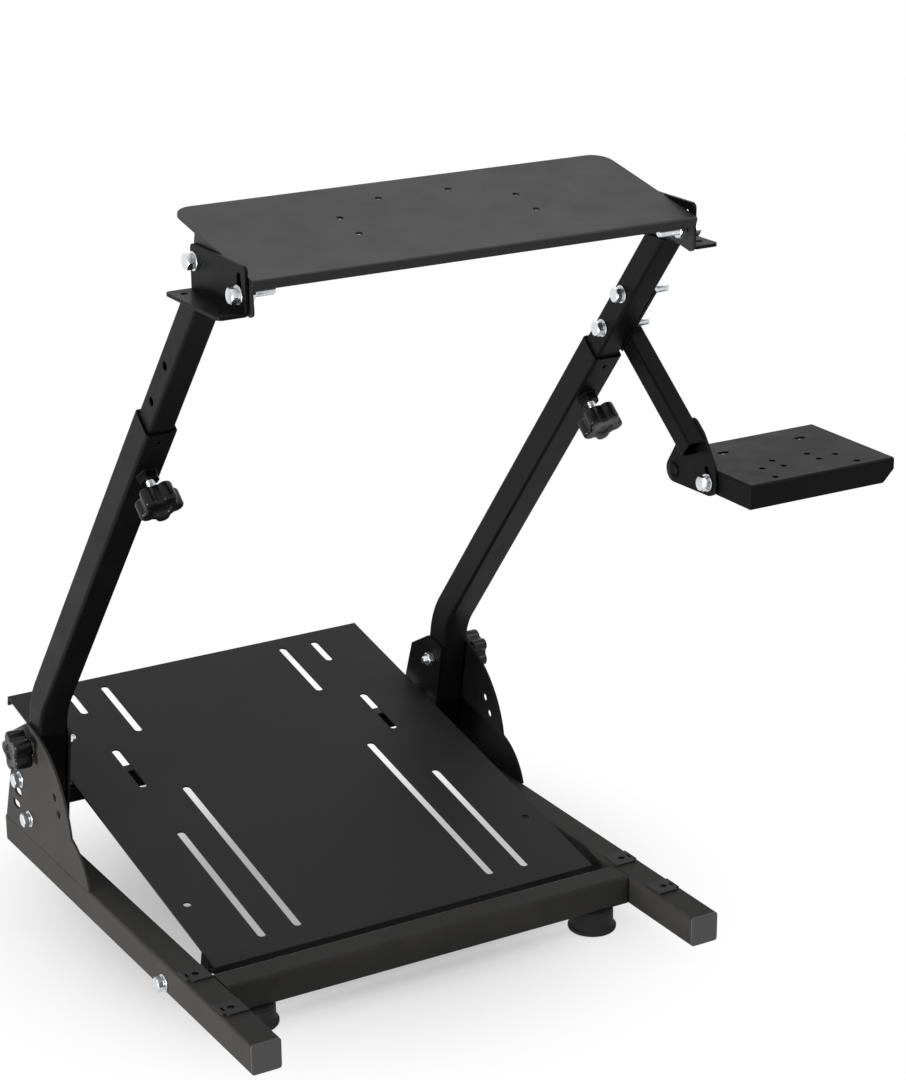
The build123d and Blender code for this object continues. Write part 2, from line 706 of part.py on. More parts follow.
# Side arm: a plate bolted to the right inner tube, a square tube welded to it and an end plate
with BuildPart() as shifter_mount_plate:
    with BuildSketch(facing(mount_x, rim, 1, upper_way)):
        with Locations((0, (mount_low + mount_high) / 2)):
            Rectangle(inner_size, mount_high - mount_low)
    extrude(amount=mount_thick)
    for point in cross_holes:
        drill(facing(mount_x + mount_thick, point, 1), bolt_hole, mount_thick)
pieces["shifter_mount_plate"] = shifter_mount_plate.part

with BuildPart() as shifter_mount_bolts:
    for point in cross_holes:
        inner_seat = facing(upright_axis_x - inner_half, point, -1)
        bolt_head(inner_seat)
        raise_disc(inner_seat, bolt_radius, -inner_size - mount_thick)
        bolt_nut(facing(mount_x + mount_thick, point, 1, upper_way), nut_height, arm_bolt_tail)
pieces["shifter_mount_bolts"] = shifter_mount_bolts.part

with BuildPart() as shifter_arm:
    arm_origin = (arm_x, arm_start.Y, arm_start.Z)
    with BuildSketch(Plane(origin=arm_origin, x_dir=(1, 0, 0), z_dir=front_way)):
        tube_section(arm_size, arm_wall)
    extrude(amount=arm_length)
pieces["shifter_arm"] = shifter_arm.part

swing = radians(side_tilt_range)
side_run = side_bolt - side_pivot
side_bolt_high = side_pivot + Vector(
    0,
    side_run.Y * cos(swing) + side_run.Z * sin(swing),
    side_run.Z * cos(swing) - side_run.Y * sin(swing),
)
with BuildPart() as shifter_end_plate:
    with BuildSketch(across(end_x)) as end_outline:
        for point, radius in (
            (arm_end - front_way * end_pad_radius, end_pad_radius),
            (arm_end - front_way * end_pad_back, end_pad_radius),
            (side_pivot, end_pivot_radius),
            (side_bolt, end_slot_radius),
            (side_bolt_high, end_slot_radius),
        ):
            with Locations(side_view(point)):
                Circle(radius)
        make_hull(end_outline.edges())
    extrude(amount=end_thick)
    drill(facing(end_x + end_thick, side_pivot, 1), bolt_hole, end_thick)
    arc_slot(end_x, end_thick, side_pivot, side_bolt, side_tilt_range)
pieces["shifter_end_plate"] = shifter_end_plate.part

# Shifter plate: a level sheet with bent front and left edges, tilting on the end plate
with BuildPart() as shifter_plate:
    side_top = Plane((side_x, side_pivot.Y, side_pivot.Z + side_plate_rise))
    with BuildSketch(side_top):
        with Locations((side_plate_width / 2, (side_plate_rear - side_plate_front) / 2)):
            Rectangle(side_plate_width, side_plate_front + side_plate_rear)
        for hole_x, hole_y in side_hole_places:
            with Locations((side_plate_width / 2 - hole_x, hole_y), (side_plate_width / 2 + hole_x, hole_y)):
                Circle(side_hole_radius, mode=Mode.SUBTRACT)
        slot_x, slot_y = side_slot_place
        with Locations((side_plate_width / 2 - slot_x, slot_y), (side_plate_width / 2 + slot_x, slot_y)):
            SlotOverall(side_slot_length, side_slot_width, mode=Mode.SUBTRACT)
    extrude(amount=-side_plate_sheet)
    with BuildSketch(side_top):
        with Locations((0, -side_plate_front)):
            Rectangle(
                side_plate_sheet,
                side_plate_front + side_plate_rear,
                align=(Align.MIN, Align.MIN),
            )
    extrude(amount=-side_plate_flange)
    flange_low = side_top.origin.Z - side_plate_flange
    flange_right = side_x + side_plate_width
    with BuildSketch(Plane.XZ.offset(side_plate_front - side_pivot.Y)):
        with BuildLine():
            Polyline(
                (side_x, side_top.origin.Z),
                (side_x, flange_low),
                (flange_right - side_flange_chamfer, flange_low),
                (flange_right, flange_low + side_flange_chamfer),
                (flange_right, side_top.origin.Z),
                close=True,
            )
        make_face()
    extrude(amount=-side_plate_sheet)
    side_edges = shifter_plate.faces().sort_by(Axis.Z)[-1].edges()
    front_bend = side_edges.filter_by(Axis.X).sort_by(Axis.Y)[0]
    left_bend = side_edges.filter_by(Axis.Y).sort_by(Axis.X)[0]
    fillet([front_bend, left_bend], bend_share * side_plate_sheet)
    drill(facing(side_x + side_plate_sheet, side_pivot, 1), pin_hole, side_plate_sheet)
    drill(facing(side_x + side_plate_sheet, side_bolt, 1), bolt_hole, side_plate_sheet)
pieces["shifter_plate"] = shifter_plate.part

with BuildPart() as shifter_pivot_pin:
    pin_length = end_thick + side_plate_gap + side_plate_sheet + slot_clearance
    raise_disc(facing(end_x, side_pivot, -1), pin_head_radius, pin_head_height)
    raise_disc(facing(end_x, side_pivot, 1), bolt_radius, pin_length)
    raise_disc(facing(end_x + pin_length, side_pivot, 1), pin_head_radius, pin_head_height)
pieces["shifter_pivot_pin"] = shifter_pivot_pin.part

with BuildPart() as shifter_slot_bolt:
    swing_seat = facing(end_x - slot_clearance, side_bolt, -1)
    bolt_head(swing_seat)
    raise_disc(swing_seat, bolt_radius, end_x - slot_clearance - side_x - side_plate_sheet)
    bolt_nut(facing(side_x + side_plate_sheet, side_bolt, 1), nut_height, bolt_tail)
pieces["shifter_slot_bolt"] = shifter_slot_bolt.part

# Move the stand so that the origin is the bottom centre of its box, and write each piece
box = Compound(list(pieces.values())).bounding_box()
to_origin = Location((-(box.min.X + box.max.X) / 2, -(box.min.Y + box.max.Y) / 2, -box.min.Z))
os.makedirs("parts", exist_ok=True)
for name, piece in pieces.items():
    placed = piece.moved(to_origin)
    placed.label = name
    export_step(placed, f"parts/{name}.step")
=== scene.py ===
"""Looks of a folding steel racing stand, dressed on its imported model.

The stand is satin black powder-coated steel tube and sheet, held by bright zinc-plated M8
fasteners, with moulded star knobs, plastic end caps and rubber feet. Lengths in the classes
are in millimetres in the maker's own frame: x = 0 on the mid-plane, y = 0 at the front caps
of the rails and z = 0 on the floor. Meshes are in metres in the row frame.
"""
import logging
import math
from dataclasses import dataclass, field
from enum import Enum
from typing import Any

import bmesh
import bpy
import numpy as np
from mathutils import Matrix


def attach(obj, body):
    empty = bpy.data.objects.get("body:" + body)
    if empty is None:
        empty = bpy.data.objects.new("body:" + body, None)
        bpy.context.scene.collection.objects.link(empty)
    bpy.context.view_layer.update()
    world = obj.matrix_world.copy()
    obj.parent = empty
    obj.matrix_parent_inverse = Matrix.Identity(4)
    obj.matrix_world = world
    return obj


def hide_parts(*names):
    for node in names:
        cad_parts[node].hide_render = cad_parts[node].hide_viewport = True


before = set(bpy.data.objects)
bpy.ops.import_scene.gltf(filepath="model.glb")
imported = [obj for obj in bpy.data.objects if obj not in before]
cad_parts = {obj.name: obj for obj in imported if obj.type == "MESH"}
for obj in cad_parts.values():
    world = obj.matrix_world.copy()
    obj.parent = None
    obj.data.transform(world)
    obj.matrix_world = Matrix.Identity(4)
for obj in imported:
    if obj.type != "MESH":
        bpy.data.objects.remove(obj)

log = logging.getLogger("wheel_stand")

Array = np.ndarray
Spec = dict[str | int, Any]
Place = tuple[float, float, float]

ACROSS = np.array([1.0, 0.0, 0.0])
UPWARD = np.array([0.0, 0.0, 1.0])


class Side(Enum):
    """The two mirrored sides of the stand, with the sign of their x."""

    LEFT = -1
    RIGHT = 1


class Body(Enum):
    """The bodies that pieces ride on."""

    BASE = "base"
    TRAY = "pedal_tray"
    UPRIGHTS = "uprights"
    CARRIAGE = "wheel_carriage"
    PLATE = "wheel_plate"
    SHIFTER = "shifter_plate"


class Slot(Enum):
    """The record's material slots."""

    COAT = "black_powder_coat"
    ZINC = "zinc_plate"
    KNOB = "knob_plastic"
    CAP = "cap_plastic"
    RUBBER = "foot_rubber"


# Frames and points of the side view


def point(x: float, side_view: Array) -> Array:
    """Give the point at x over a (y, z) place of the side view, in millimetres."""
    return np.array([x, side_view[0], side_view[1]])


def lean(degrees: float) -> Array:
    """Give the unit (y, z) direction that leans towards the driver by an angle from upright."""
    return np.array([-math.sin(math.radians(degrees)), math.cos(math.radians(degrees))])


def unit(vectors: Array) -> Array:
    """Give vectors drawn to a length of 1, along the last dimension."""
    return vectors / np.linalg.norm(vectors, axis=-1, keepdims=True)


@dataclass(frozen=True)
class Seat:
    """A place to put a turned piece: its origin, its axis and the direction of angle zero."""

    origin: Array
    axis: Array
    zero: Array

    def put(self, local: Array) -> Array:
        """Turn local points to the maker's frame: x along zero, z along the axis.

        Args:
            local: Points in millimetres, last dimension 3.

        Returns:
            The points in the maker's frame, in millimetres.
        """
        basis = np.stack([self.zero, np.cross(self.axis, self.zero), self.axis])
        return self.origin + local @ basis

    def raised(self, height: float) -> "Seat":
        """Give the same seat moved along its axis."""
        return Seat(self.origin + self.axis * height, self.axis, self.zero)


def facing(x: float, side_view: Array, sign: int, upward: Array | None = None) -> Seat:
    """Give the seat at x over a place of the side view, facing +X or -X.

    Args:
        x: Where the seat lies, in millimetres.
        side_view: Its (y, z) place.
        sign: +1 to face +X, -1 to face -X.
        upward: The (y, z) direction that turns angle zero, upright if not given.

    Returns:
        The seat, with angle zero square to upward.
    """
    up = np.array([0.0, 1.0]) if upward is None else upward
    zero = np.cross(point(0.0, up), ACROSS)
    return Seat(point(x, side_view), np.array([float(sign), 0.0, 0.0]), zero)


@dataclass(frozen=True)
class Setting:
    """The stand's axes and levels in the side view, worked out from its driving sizes."""

    shift: Place = (81.7, 322.821, 0.0)
    outer_face: float = 250.0
    rail_size: float = 30.0
    rail_axis_lift: float = 38.0
    rail_axis_x: float = 235.0
    tube_corner: float = 3.0
    cap_seats: tuple[float, float] = (2.0, 567.0)
    gusset_inside: float = 214.0
    front_foot: tuple[float, float] = (187.0, 123.6)
    rear_foot: tuple[float, float] = (95.0, 552.0)
    rear_cross_low: float = 60.0
    foot_height: float = 23.0
    washer_thick: float = 1.6
    fold_axis: tuple[float, float] = (498.0, 75.0)
    lock_lift: float = 85.4
    upright_axis_x: float = 232.0
    upright_half: float = 15.0
    inner_half: float = 12.5
    lower_lean: float = 10.0
    lower_length: float = 133.8
    upper_lean: float = 38.4
    upper_length: float = 469.3
    clamp_drop: float = 60.0
    clamp_flats: float = 17.0
    clamp_standoff: float = 17.0
    tray_axis: tuple[float, float] = (181.0, 33.0)
    tray_bolt_reach: tuple[float, float] = (20.0, 36.0)
    tray_lug_x: float = 207.0
    inner_reach: float = 162.6
    cross_hole_lifts: tuple[float, float] = (30.5, 80.5)
    bracket_inner: float = 219.0
    bracket_thick: float = 3.0
    ear_inner: float = 216.0
    tilt_axis_y: float = 115.0
    tilt_axis_lift: float = 27.6
    plate_slope: float = 11.5
    tilt_bolt_ahead: float = 83.8
    tilt_bolt_lift: float = 5.5
    mount_outside: float = 247.5
    arm_half: float = 10.0
    arm_lift: float = 13.5
    arm_length: float = 138.2
    end_x: float = 267.5
    side_sheet_x: float = 273.5
    side_pivot_reach: tuple[float, float] = (46.0, -34.5)
    side_bolt_reach: tuple[float, float] = (-55.4, 2.5)

    @property
    def lower_way(self) -> Array:
        """Direction up the lower part of an upright."""
        return lean(self.lower_lean)

    @property
    def upper_way(self) -> Array:
        """Direction up the upper part of an upright."""
        return lean(self.upper_lean)

    @property
    def front_way(self) -> Array:
        """Direction square to the upper part of an upright, towards the driver and down."""
        return np.array([-self.upper_way[1], self.upper_way[0]])

    @property
    def pivot(self) -> Array:
        """Fold axis of the uprights."""
        return np.array(self.fold_axis)

    @property
    def lock_point(self) -> Array:
        """Fold lock, on the lower part of the upright."""
        return self.pivot + self.lower_way * self.lock_lift

    @property
    def rim(self) -> Array:
        """Top end of the outer upright, on its axis."""
        return self.pivot + self.lower_way * self.lower_length + self.upper_way * self.upper_length

    @property
    def clamp_face(self) -> Array:
        """Height clamp on the upright's front face."""
        return self.rim - self.upper_way * self.clamp_drop + self.front_way * self.upright_half

    @property
    def tray_pivot(self) -> Array:
        """Tilt axis of the pedal tray."""
        return np.array(self.tray_axis)

    @property
    def tray_bolt(self) -> Array:
        """Rear bolts of the pedal tray."""
        return self.pivot + np.array(self.tray_bolt_reach)

    @property
    def inner_top(self) -> Array:
        """Top end of the inner tube, on its axis."""
        return self.rim + self.upper_way * self.inner_reach

    @property
    def bracket_lift(self) -> float:
        """Underside of the top brackets."""
        return float(self.inner_top[1])

    @property
    def tilt_axis(self) -> Array:
        """Tilt axis of the wheel plate."""
        return np.array([self.tilt_axis_y, self.bracket_lift + self.tilt_axis_lift])

    @property
    def tilt_bolt(self) -> Array:
        """Bolts that slide in the curved slots of the top brackets."""
        slope = math.radians(self.plate_slope)
        along = np.array([math.cos(slope), math.sin(slope)])
        square = np.array([-along[1], along[0]])
        return self.tilt_axis - along * self.tilt_bolt_ahead + square * self.tilt_bolt_lift

    @property
    def cross_holes(self) -> list[Array]:
        """Bolt holes across the inner tubes."""
        return [self.rim + self.upper_way * lift for lift in self.cross_hole_lifts]

    @property
    def arm_start(self) -> Array:
        """Upper end of the side arm's axis."""
        return self.rim + self.upper_way * self.arm_lift

    @property
    def arm_end(self) -> Array:
        """Lower end of the side arm's axis."""
        return self.arm_start + self.front_way * self.arm_length

    @property
    def side_pivot(self) -> Array:
        """Tilt axis of the shifter plate."""
        return self.arm_end + np.array(self.side_pivot_reach)

    @property
    def side_bolt(self) -> Array:
        """Bolt that slides in the end plate's slot."""
        return self.side_pivot + np.array(self.side_bolt_reach)

    def front_seat(self, side: Side) -> Seat:
        """Give the seat of the height clamp on one upright's front face."""
        origin = point(side.value * self.upright_axis_x, self.clamp_face)
        return Seat(origin, point(0.0, self.front_way), ACROSS)

    def to_row(self, points: Array) -> Array:
        """Move points from the maker's frame to the row frame, in metres."""
        return (points - np.array(self.shift)) / 1000.0


# Surfaces as grids of points


def round_angles(count: int) -> Array:
    """Give this many angles spread evenly over a turn."""
    return np.arange(count) * (2 * np.pi / count)


def around(radius: Array | float, angle: Array, level: Array | float) -> Array:
    """Give points round the axis: x = r cos a, y = r sin a and z = h."""
    return np.stack(np.broadcast_arrays(radius * np.cos(angle), radius * np.sin(angle), level), axis=-1)


def turned(profile: Array, sides: int) -> Array:
    """Give a turned surface: the profile's (radius, height) pairs carried round the axis.

    Args:
        profile: Rows of radius and height, in millimetres.
        sides: Number of columns round the axis.

    Returns:
        A rows by sides by 3 grid.
    """
    return around(profile[:, :1], round_angles(sides), profile[:, 1:])


def outline_stack(outline: Array, insets: Array, heights: Array) -> Array:
    """Give a surface of drawn-in copies of an outline stacked along the axis.

    Each point of a row keeps its angle and loses the row's inset from its radius, never
    passing the middle.

    Args:
        outline: A row of angles and a row of radii.
        insets: One inset per row of the surface, in millimetres.
        heights: One height per row of the surface, in millimetres.

    Returns:
        A rows by columns by 3 grid.
    """
    angle, radius = outline
    drawn = np.maximum(radius[None, :] - insets[:, None], 0.0)
    return around(drawn, angle, heights[:, None])


def hexagon_radius(angle: Array, flats: float) -> Array:
    """Give a hexagon's radius at each angle: half its flats over the cosine from the nearest flat."""
    return flats / 2 / np.cos((angle % (np.pi / 3)) - np.pi / 6)


def hexagon_block(flats: float, height: float, cut_low: bool) -> Array:
    """Give a forged hexagon whose corners are cut off by a 30 degree cone.

    At an angle the wall stands at the hexagon's radius r. The cone cuts it at
    height - tan 30 (r - c), where c is the top circle's radius, and the same from below
    where cut_low asks for it. The ends close on the axis, the upper one with a shallow dish.

    Args:
        flats: Width across the flats, in millimetres.
        height: Height, in millimetres.
        cut_low: Whether the lower end is cut as well.

    Returns:
        A rows by columns by 3 grid.
    """
    columns = 72
    circle_of_flats, dish_of_circle, dish_of_height = 0.475, 0.62, 0.05
    cone = math.tan(math.radians(30))
    angle = round_angles(columns)
    wall = hexagon_radius(angle, flats)
    none, full = np.zeros_like(wall), np.full_like(wall, height)
    circle = np.full_like(wall, circle_of_flats * flats)
    drop = cone * np.maximum(wall - circle, 0.0)
    low = drop if cut_low else none
    low_circle = circle if cut_low else wall
    dish = full - dish_of_height * height
    radius = np.stack([none, low_circle, wall, wall, circle, dish_of_circle * circle, none])
    level = np.stack([none, none, low, full - drop, full, dish, dish])
    return around(radius, angle, level)


def thread(radius: float, length: float) -> Array:
    """Give an M8 threaded rod with a chamfered end.

    The radius falls from the crest by the thread's depth times a triangle wave of
    height / pitch - angle / turn, and the chamfer bounds it near the free end. The depth is
    three quarters of the standard 0.61 pitch, since crests and roots are rolled round.

    Args:
        radius: Crest radius, in millimetres.
        length: Length from the seat, in millimetres.

    Returns:
        A rows by columns by 3 grid.
    """
    pitch, chamfer = 1.25, 1.2
    depth = 0.61 * pitch * 0.75
    columns, rows_per_turn, fewest_rows = 20, 4, 4
    angle = round_angles(columns)
    steps = max(int(length / pitch * rows_per_turn), fewest_rows)
    height = np.linspace(0.0, length, steps + 1)
    wave = np.abs(2 * ((height[:, None] / pitch - angle / (2 * np.pi)) % 1.0) - 1)
    bound = np.minimum(radius, radius - chamfer + (length - height))[:, None]
    wall = np.minimum(radius - depth * wave, bound)
    pole = np.zeros((1, columns))
    level = np.concatenate([[0.0], height, [length]])[:, None]
    return around(np.concatenate([pole, wall, pole]), angle, level)


def split_ring(inner: float, outer: float, thick: float, gap: float) -> Array:
    """Give a spring washer: a square profile carried round less than a turn.

    The profile is nine tenths as thick as the washer. Its centre rises by the last tenth
    along the arc, and both ends close on that centre.

    Args:
        inner: Inner radius, in millimetres.
        outer: Outer radius, in millimetres.
        thick: Thickness, in millimetres.
        gap: Angle left open, in degrees.

    Returns:
        A grid whose rows go along the arc and whose columns go round the profile.
    """
    rows = 41
    wire, climb, edge = 0.9 * thick, 0.1 * thick, 0.12 * thick
    arc = np.radians(np.linspace(gap / 2, 360 - gap / 2, rows))
    arc = np.concatenate([arc[:1], arc, arc[-1:]])
    size = np.ones_like(arc)
    size[[0, -1]] = 0.0
    half_width, half_height = (outer - inner) / 2, wire / 2
    across = np.array([-1, -1, -1, 1, 1, 1, 1, -1]) * half_width
    across = across + np.array([0, 0, edge, -edge, 0, 0, -edge, edge])
    upward = np.array([1, -1, -1, -1, -1, 1, 1, 1]) * half_height
    upward = upward + np.array([-edge, edge, 0, 0, edge, -edge, 0, 0])
    rise = climb * (arc - arc[0]) / (arc[-1] - arc[0])
    radius = (inner + outer) / 2 + size[:, None] * across
    level = half_height + rise[:, None] + size[:, None] * upward
    return around(radius, arc[:, None], level)


def rounded_square(half: float, corner: float, half_long: float | None = None) -> Array:
    """Give a rounded rectangle as points: four quarter circles joined by straight runs.

    Args:
        half: Half its width, in millimetres.
        corner: Corner radius, in millimetres.
        half_long: Half its length, the same as its width if not given.

    Returns:
        A row of x and a row of y, anticlockwise.
    """
    per_corner = 8
    long = half if half_long is None else half_long
    turn = np.linspace(0.0, np.pi / 2, per_corner)[None, :] + (np.arange(4) * np.pi / 2)[:, None]
    way_x = np.array([1, -1, -1, 1])[:, None] * (half - corner)
    way_y = np.array([1, 1, -1, -1])[:, None] * (long - corner)
    return np.stack([(way_x + corner * np.cos(turn)).ravel(), (way_y + corner * np.sin(turn)).ravel()])


def resample(path: Array, step: float, closed: bool) -> Array:
    """Give a path's points again at even steps of length, by straight interpolation.

    Args:
        path: Points along the path, in millimetres.
        step: The length of a step, in millimetres.
        closed: Whether the path comes back to its start.

    Returns:
        The even points, without the start again where the path is closed.
    """
    fewest_steps = 4
    run = np.concatenate([path, path[:1]]) if closed else path
    length = np.concatenate([[0.0], np.cumsum(np.linalg.norm(np.diff(run, axis=0), axis=1))])
    count = max(int(length[-1] / step), fewest_steps)
    at = np.linspace(0.0, length[-1], count + 1)
    even = np.stack([np.interp(at, length, run[:, axis]) for axis in range(3)], axis=-1)
    return even[:-1] if closed else even


def weld_bead(path: Array, radius: float, closed: bool) -> Array:
    """Give a weld bead: a round profile along a path, swelling with each laid drop.

    The radius is r (0.86 + 0.14 |cos(pi s / 2.4)|) at length s, since a drop of a hand-run
    bead is about 2.4 mm long, and it closes to a point at the ends of an open path.

    Args:
        path: Points along the joint, in millimetres.
        radius: Radius of a drop, in millimetres.
        closed: Whether the path comes back to its start.

    Returns:
        A grid whose rows go along the path and whose columns go round the bead.
    """
    step, drop, ripple, columns = 0.6, 2.4, 0.14, 10
    # A direction that no joint of the stand follows
    aside = np.array([0.36, 0.48, 0.8])
    line = resample(path, step, closed)
    if closed:
        ahead = unit(np.roll(line, -1, axis=0) - np.roll(line, 1, axis=0))
    else:
        ahead = unit(np.gradient(line, axis=0))
    first = unit(np.cross(ahead, aside))
    second = np.cross(ahead, first)
    along = np.arange(len(line)) * step
    swell = radius * (1 - ripple + ripple * np.abs(np.cos(np.pi * along / drop)))
    if not closed:
        taper = 1.5 * radius
        swell = swell * np.sqrt(np.clip(np.minimum(along, along[::-1]) / taper, 0.0, 1.0))
    turn = round_angles(columns)[None, :, None]
    ring = first[:, None] * np.cos(turn) + second[:, None] * np.sin(turn)
    grid = line[:, None] + swell[:, None, None] * ring
    return np.concatenate([grid, grid[:1]]) if closed else grid


def star_outline(lobes: int, core: float, pitch: float, lobe: float) -> Array:
    """Give a star knob's outline: the smooth larger of a core circle and round lobes.

    With f the angle from the nearest lobe's axis, a lobe reaches
    p cos f + sqrt(l l - p p sin f sin f), and the two radii are joined by a power mean.

    Args:
        lobes: Number of lobes.
        core: Core radius, in millimetres.
        pitch: Radius of the circle that the lobes' centres are on, in millimetres.
        lobe: Lobe radius, in millimetres.

    Returns:
        A row of angles and a row of radii.
    """
    per_lobe, power = 30, 14.0
    angle = round_angles(per_lobe * lobes)
    valley = np.pi / lobes
    away = (angle + valley) % (2 * valley) - valley
    inside = np.maximum(lobe**2 - (pitch * np.sin(away)) ** 2, 0.0)
    reach = pitch * np.cos(away) + np.sqrt(inside)
    joined = (core**power + reach**power) ** (1 / power)
    return np.stack([angle, np.minimum(joined, pitch + lobe)])


class MeshBatch:
    """Grids of points gathered into one mesh in the row frame."""

    merge_distance = 2e-6
    shortest_edge = 1e-7

    def __init__(self, setting: Setting) -> None:
        """Start with no points.

        Args:
            setting: The stand's axes and levels, for the move to the row frame.
        """
        self.setting = setting
        self.points: list[Array] = []
        self.faces: list[Array] = []
        self.count = 0

    def add(self, grid: Array) -> None:
        """Add a grid that is closed along its columns, one quad per cell.

        Args:
            grid: A rows by columns by 3 array in the maker's frame, in millimetres.
        """
        rows, columns = grid.shape[:2]
        index = np.arange(rows * columns).reshape(rows, columns) + self.count
        index = np.concatenate([index, index[:, :1]], axis=1)
        cells = np.stack([index[:-1, :-1], index[:-1, 1:], index[1:, 1:], index[1:, :-1]], axis=-1)
        self.points.append(self.setting.to_row(grid.reshape(-1, 3)))
        self.faces.append(cells.reshape(-1, 4))
        self.count += rows * columns

    def make(self, name: str, crease: float = 32.0) -> bpy.types.Object:
        """Make the object: merge poles and seams, turn faces outwards, keep edges over the crease sharp.

        Args:
            name: The object's name.
            crease: Angle in degrees past which an edge stays sharp.

        Returns:
            The object, at the origin, unturned and unscaled.
        """
        mesh = bpy.data.meshes.new(name)
        mesh.from_pydata(np.concatenate(self.points).tolist(), [], np.concatenate(self.faces).tolist())
        work = bmesh.new()
        work.from_mesh(mesh)
        bmesh.ops.remove_doubles(work, verts=work.verts, dist=self.merge_distance)
        bmesh.ops.dissolve_degenerate(work, edges=work.edges, dist=self.shortest_edge)
        bmesh.ops.recalc_face_normals(work, faces=work.faces)
        work.to_mesh(mesh)
        work.free()
        mesh.shade_smooth()
        mesh.set_sharp_from_angle(angle=math.radians(crease))
        made = bpy.data.objects.new(name, mesh)
        bpy.context.scene.collection.objects.link(made)
        return made


# Materials

# The middle of a noise texture's range, where most of its values are
NOISE_SPAN: Spec = {"From Min": 0.3, "From Max": 0.7}


def linear(colour: str) -> tuple[float, float, float, float]:
    """Turn an sRGB hex colour into linear values, by the curve of the sRGB standard.

    Args:
        colour: Six hex digits after a hash sign.

    Returns:
        Red, green, blue and an alpha of 1.
    """
    parts = [int(colour[at:at + 2], 16) / 255 for at in (1, 3, 5)]
    red, green, blue = (
        part / 12.92 if part <= 0.04045 else ((part + 0.055) / 1.055) ** 2.4 for part in parts
    )
    return (red, green, blue, 1.0)


def per_metre(size: float) -> float:
    """Give the noise scale whose features are about this many millimetres."""
    return 1000.0 / size


def add_node(
    tree: bpy.types.NodeTree, kind: str, sets: Spec | None = None, links: Spec | None = None
) -> bpy.types.Node:
    """Add a node with its settings and links.

    Args:
        tree: The node tree.
        kind: The node's type name.
        sets: Values by input name or number, or by property name.
        links: Output sockets by input name or number.

    Returns:
        The node.
    """
    node = tree.nodes.new(kind)
    for key, value in (sets or {}).items():
        if isinstance(key, str) and hasattr(node, key):
            setattr(node, key, value)
        else:
            node.inputs[key].default_value = value
    for key, socket in (links or {}).items():
        tree.links.new(socket, node.inputs[key])
    return node


def new_material(name: str) -> tuple[bpy.types.Material, bpy.types.NodeTree]:
    """Make an empty node material.

    Args:
        name: Its name.

    Returns:
        The material and its tree.
    """
    material = bpy.data.materials.new(name)
    material.use_nodes = True
    material.node_tree.nodes.clear()
    return material, material.node_tree


def close_surface(
    tree: bpy.types.NodeTree,
    colour: bpy.types.NodeSocket,
    pattern: bpy.types.NodeSocket,
    gloss: tuple[float, float],
    normal: bpy.types.NodeSocket,
    sets: Spec,
) -> None:
    """Close a finish: a shader whose roughness follows a noise, and the material's output.

    Args:
        tree: The material's tree.
        colour: Its colour.
        pattern: The noise that its roughness follows.
        gloss: The lowest and the highest roughness.
        normal: Its normal, bumped.
        sets: Values on the shader's own sockets.
    """
    roughness = add_node(
        tree,
        "ShaderNodeMapRange",
        {**NOISE_SPAN, "To Min": gloss[0], "To Max": gloss[1]},
        {"Value": pattern},
    )
    shader = add_node(
        tree,
        "ShaderNodeBsdfPrincipled",
        sets,
        {"Base Color": colour, "Roughness": roughness.outputs["Result"], "Normal": normal},
    )
    add_node(tree, "ShaderNodeOutputMaterial", {}, {"Surface": shader.outputs["BSDF"]})


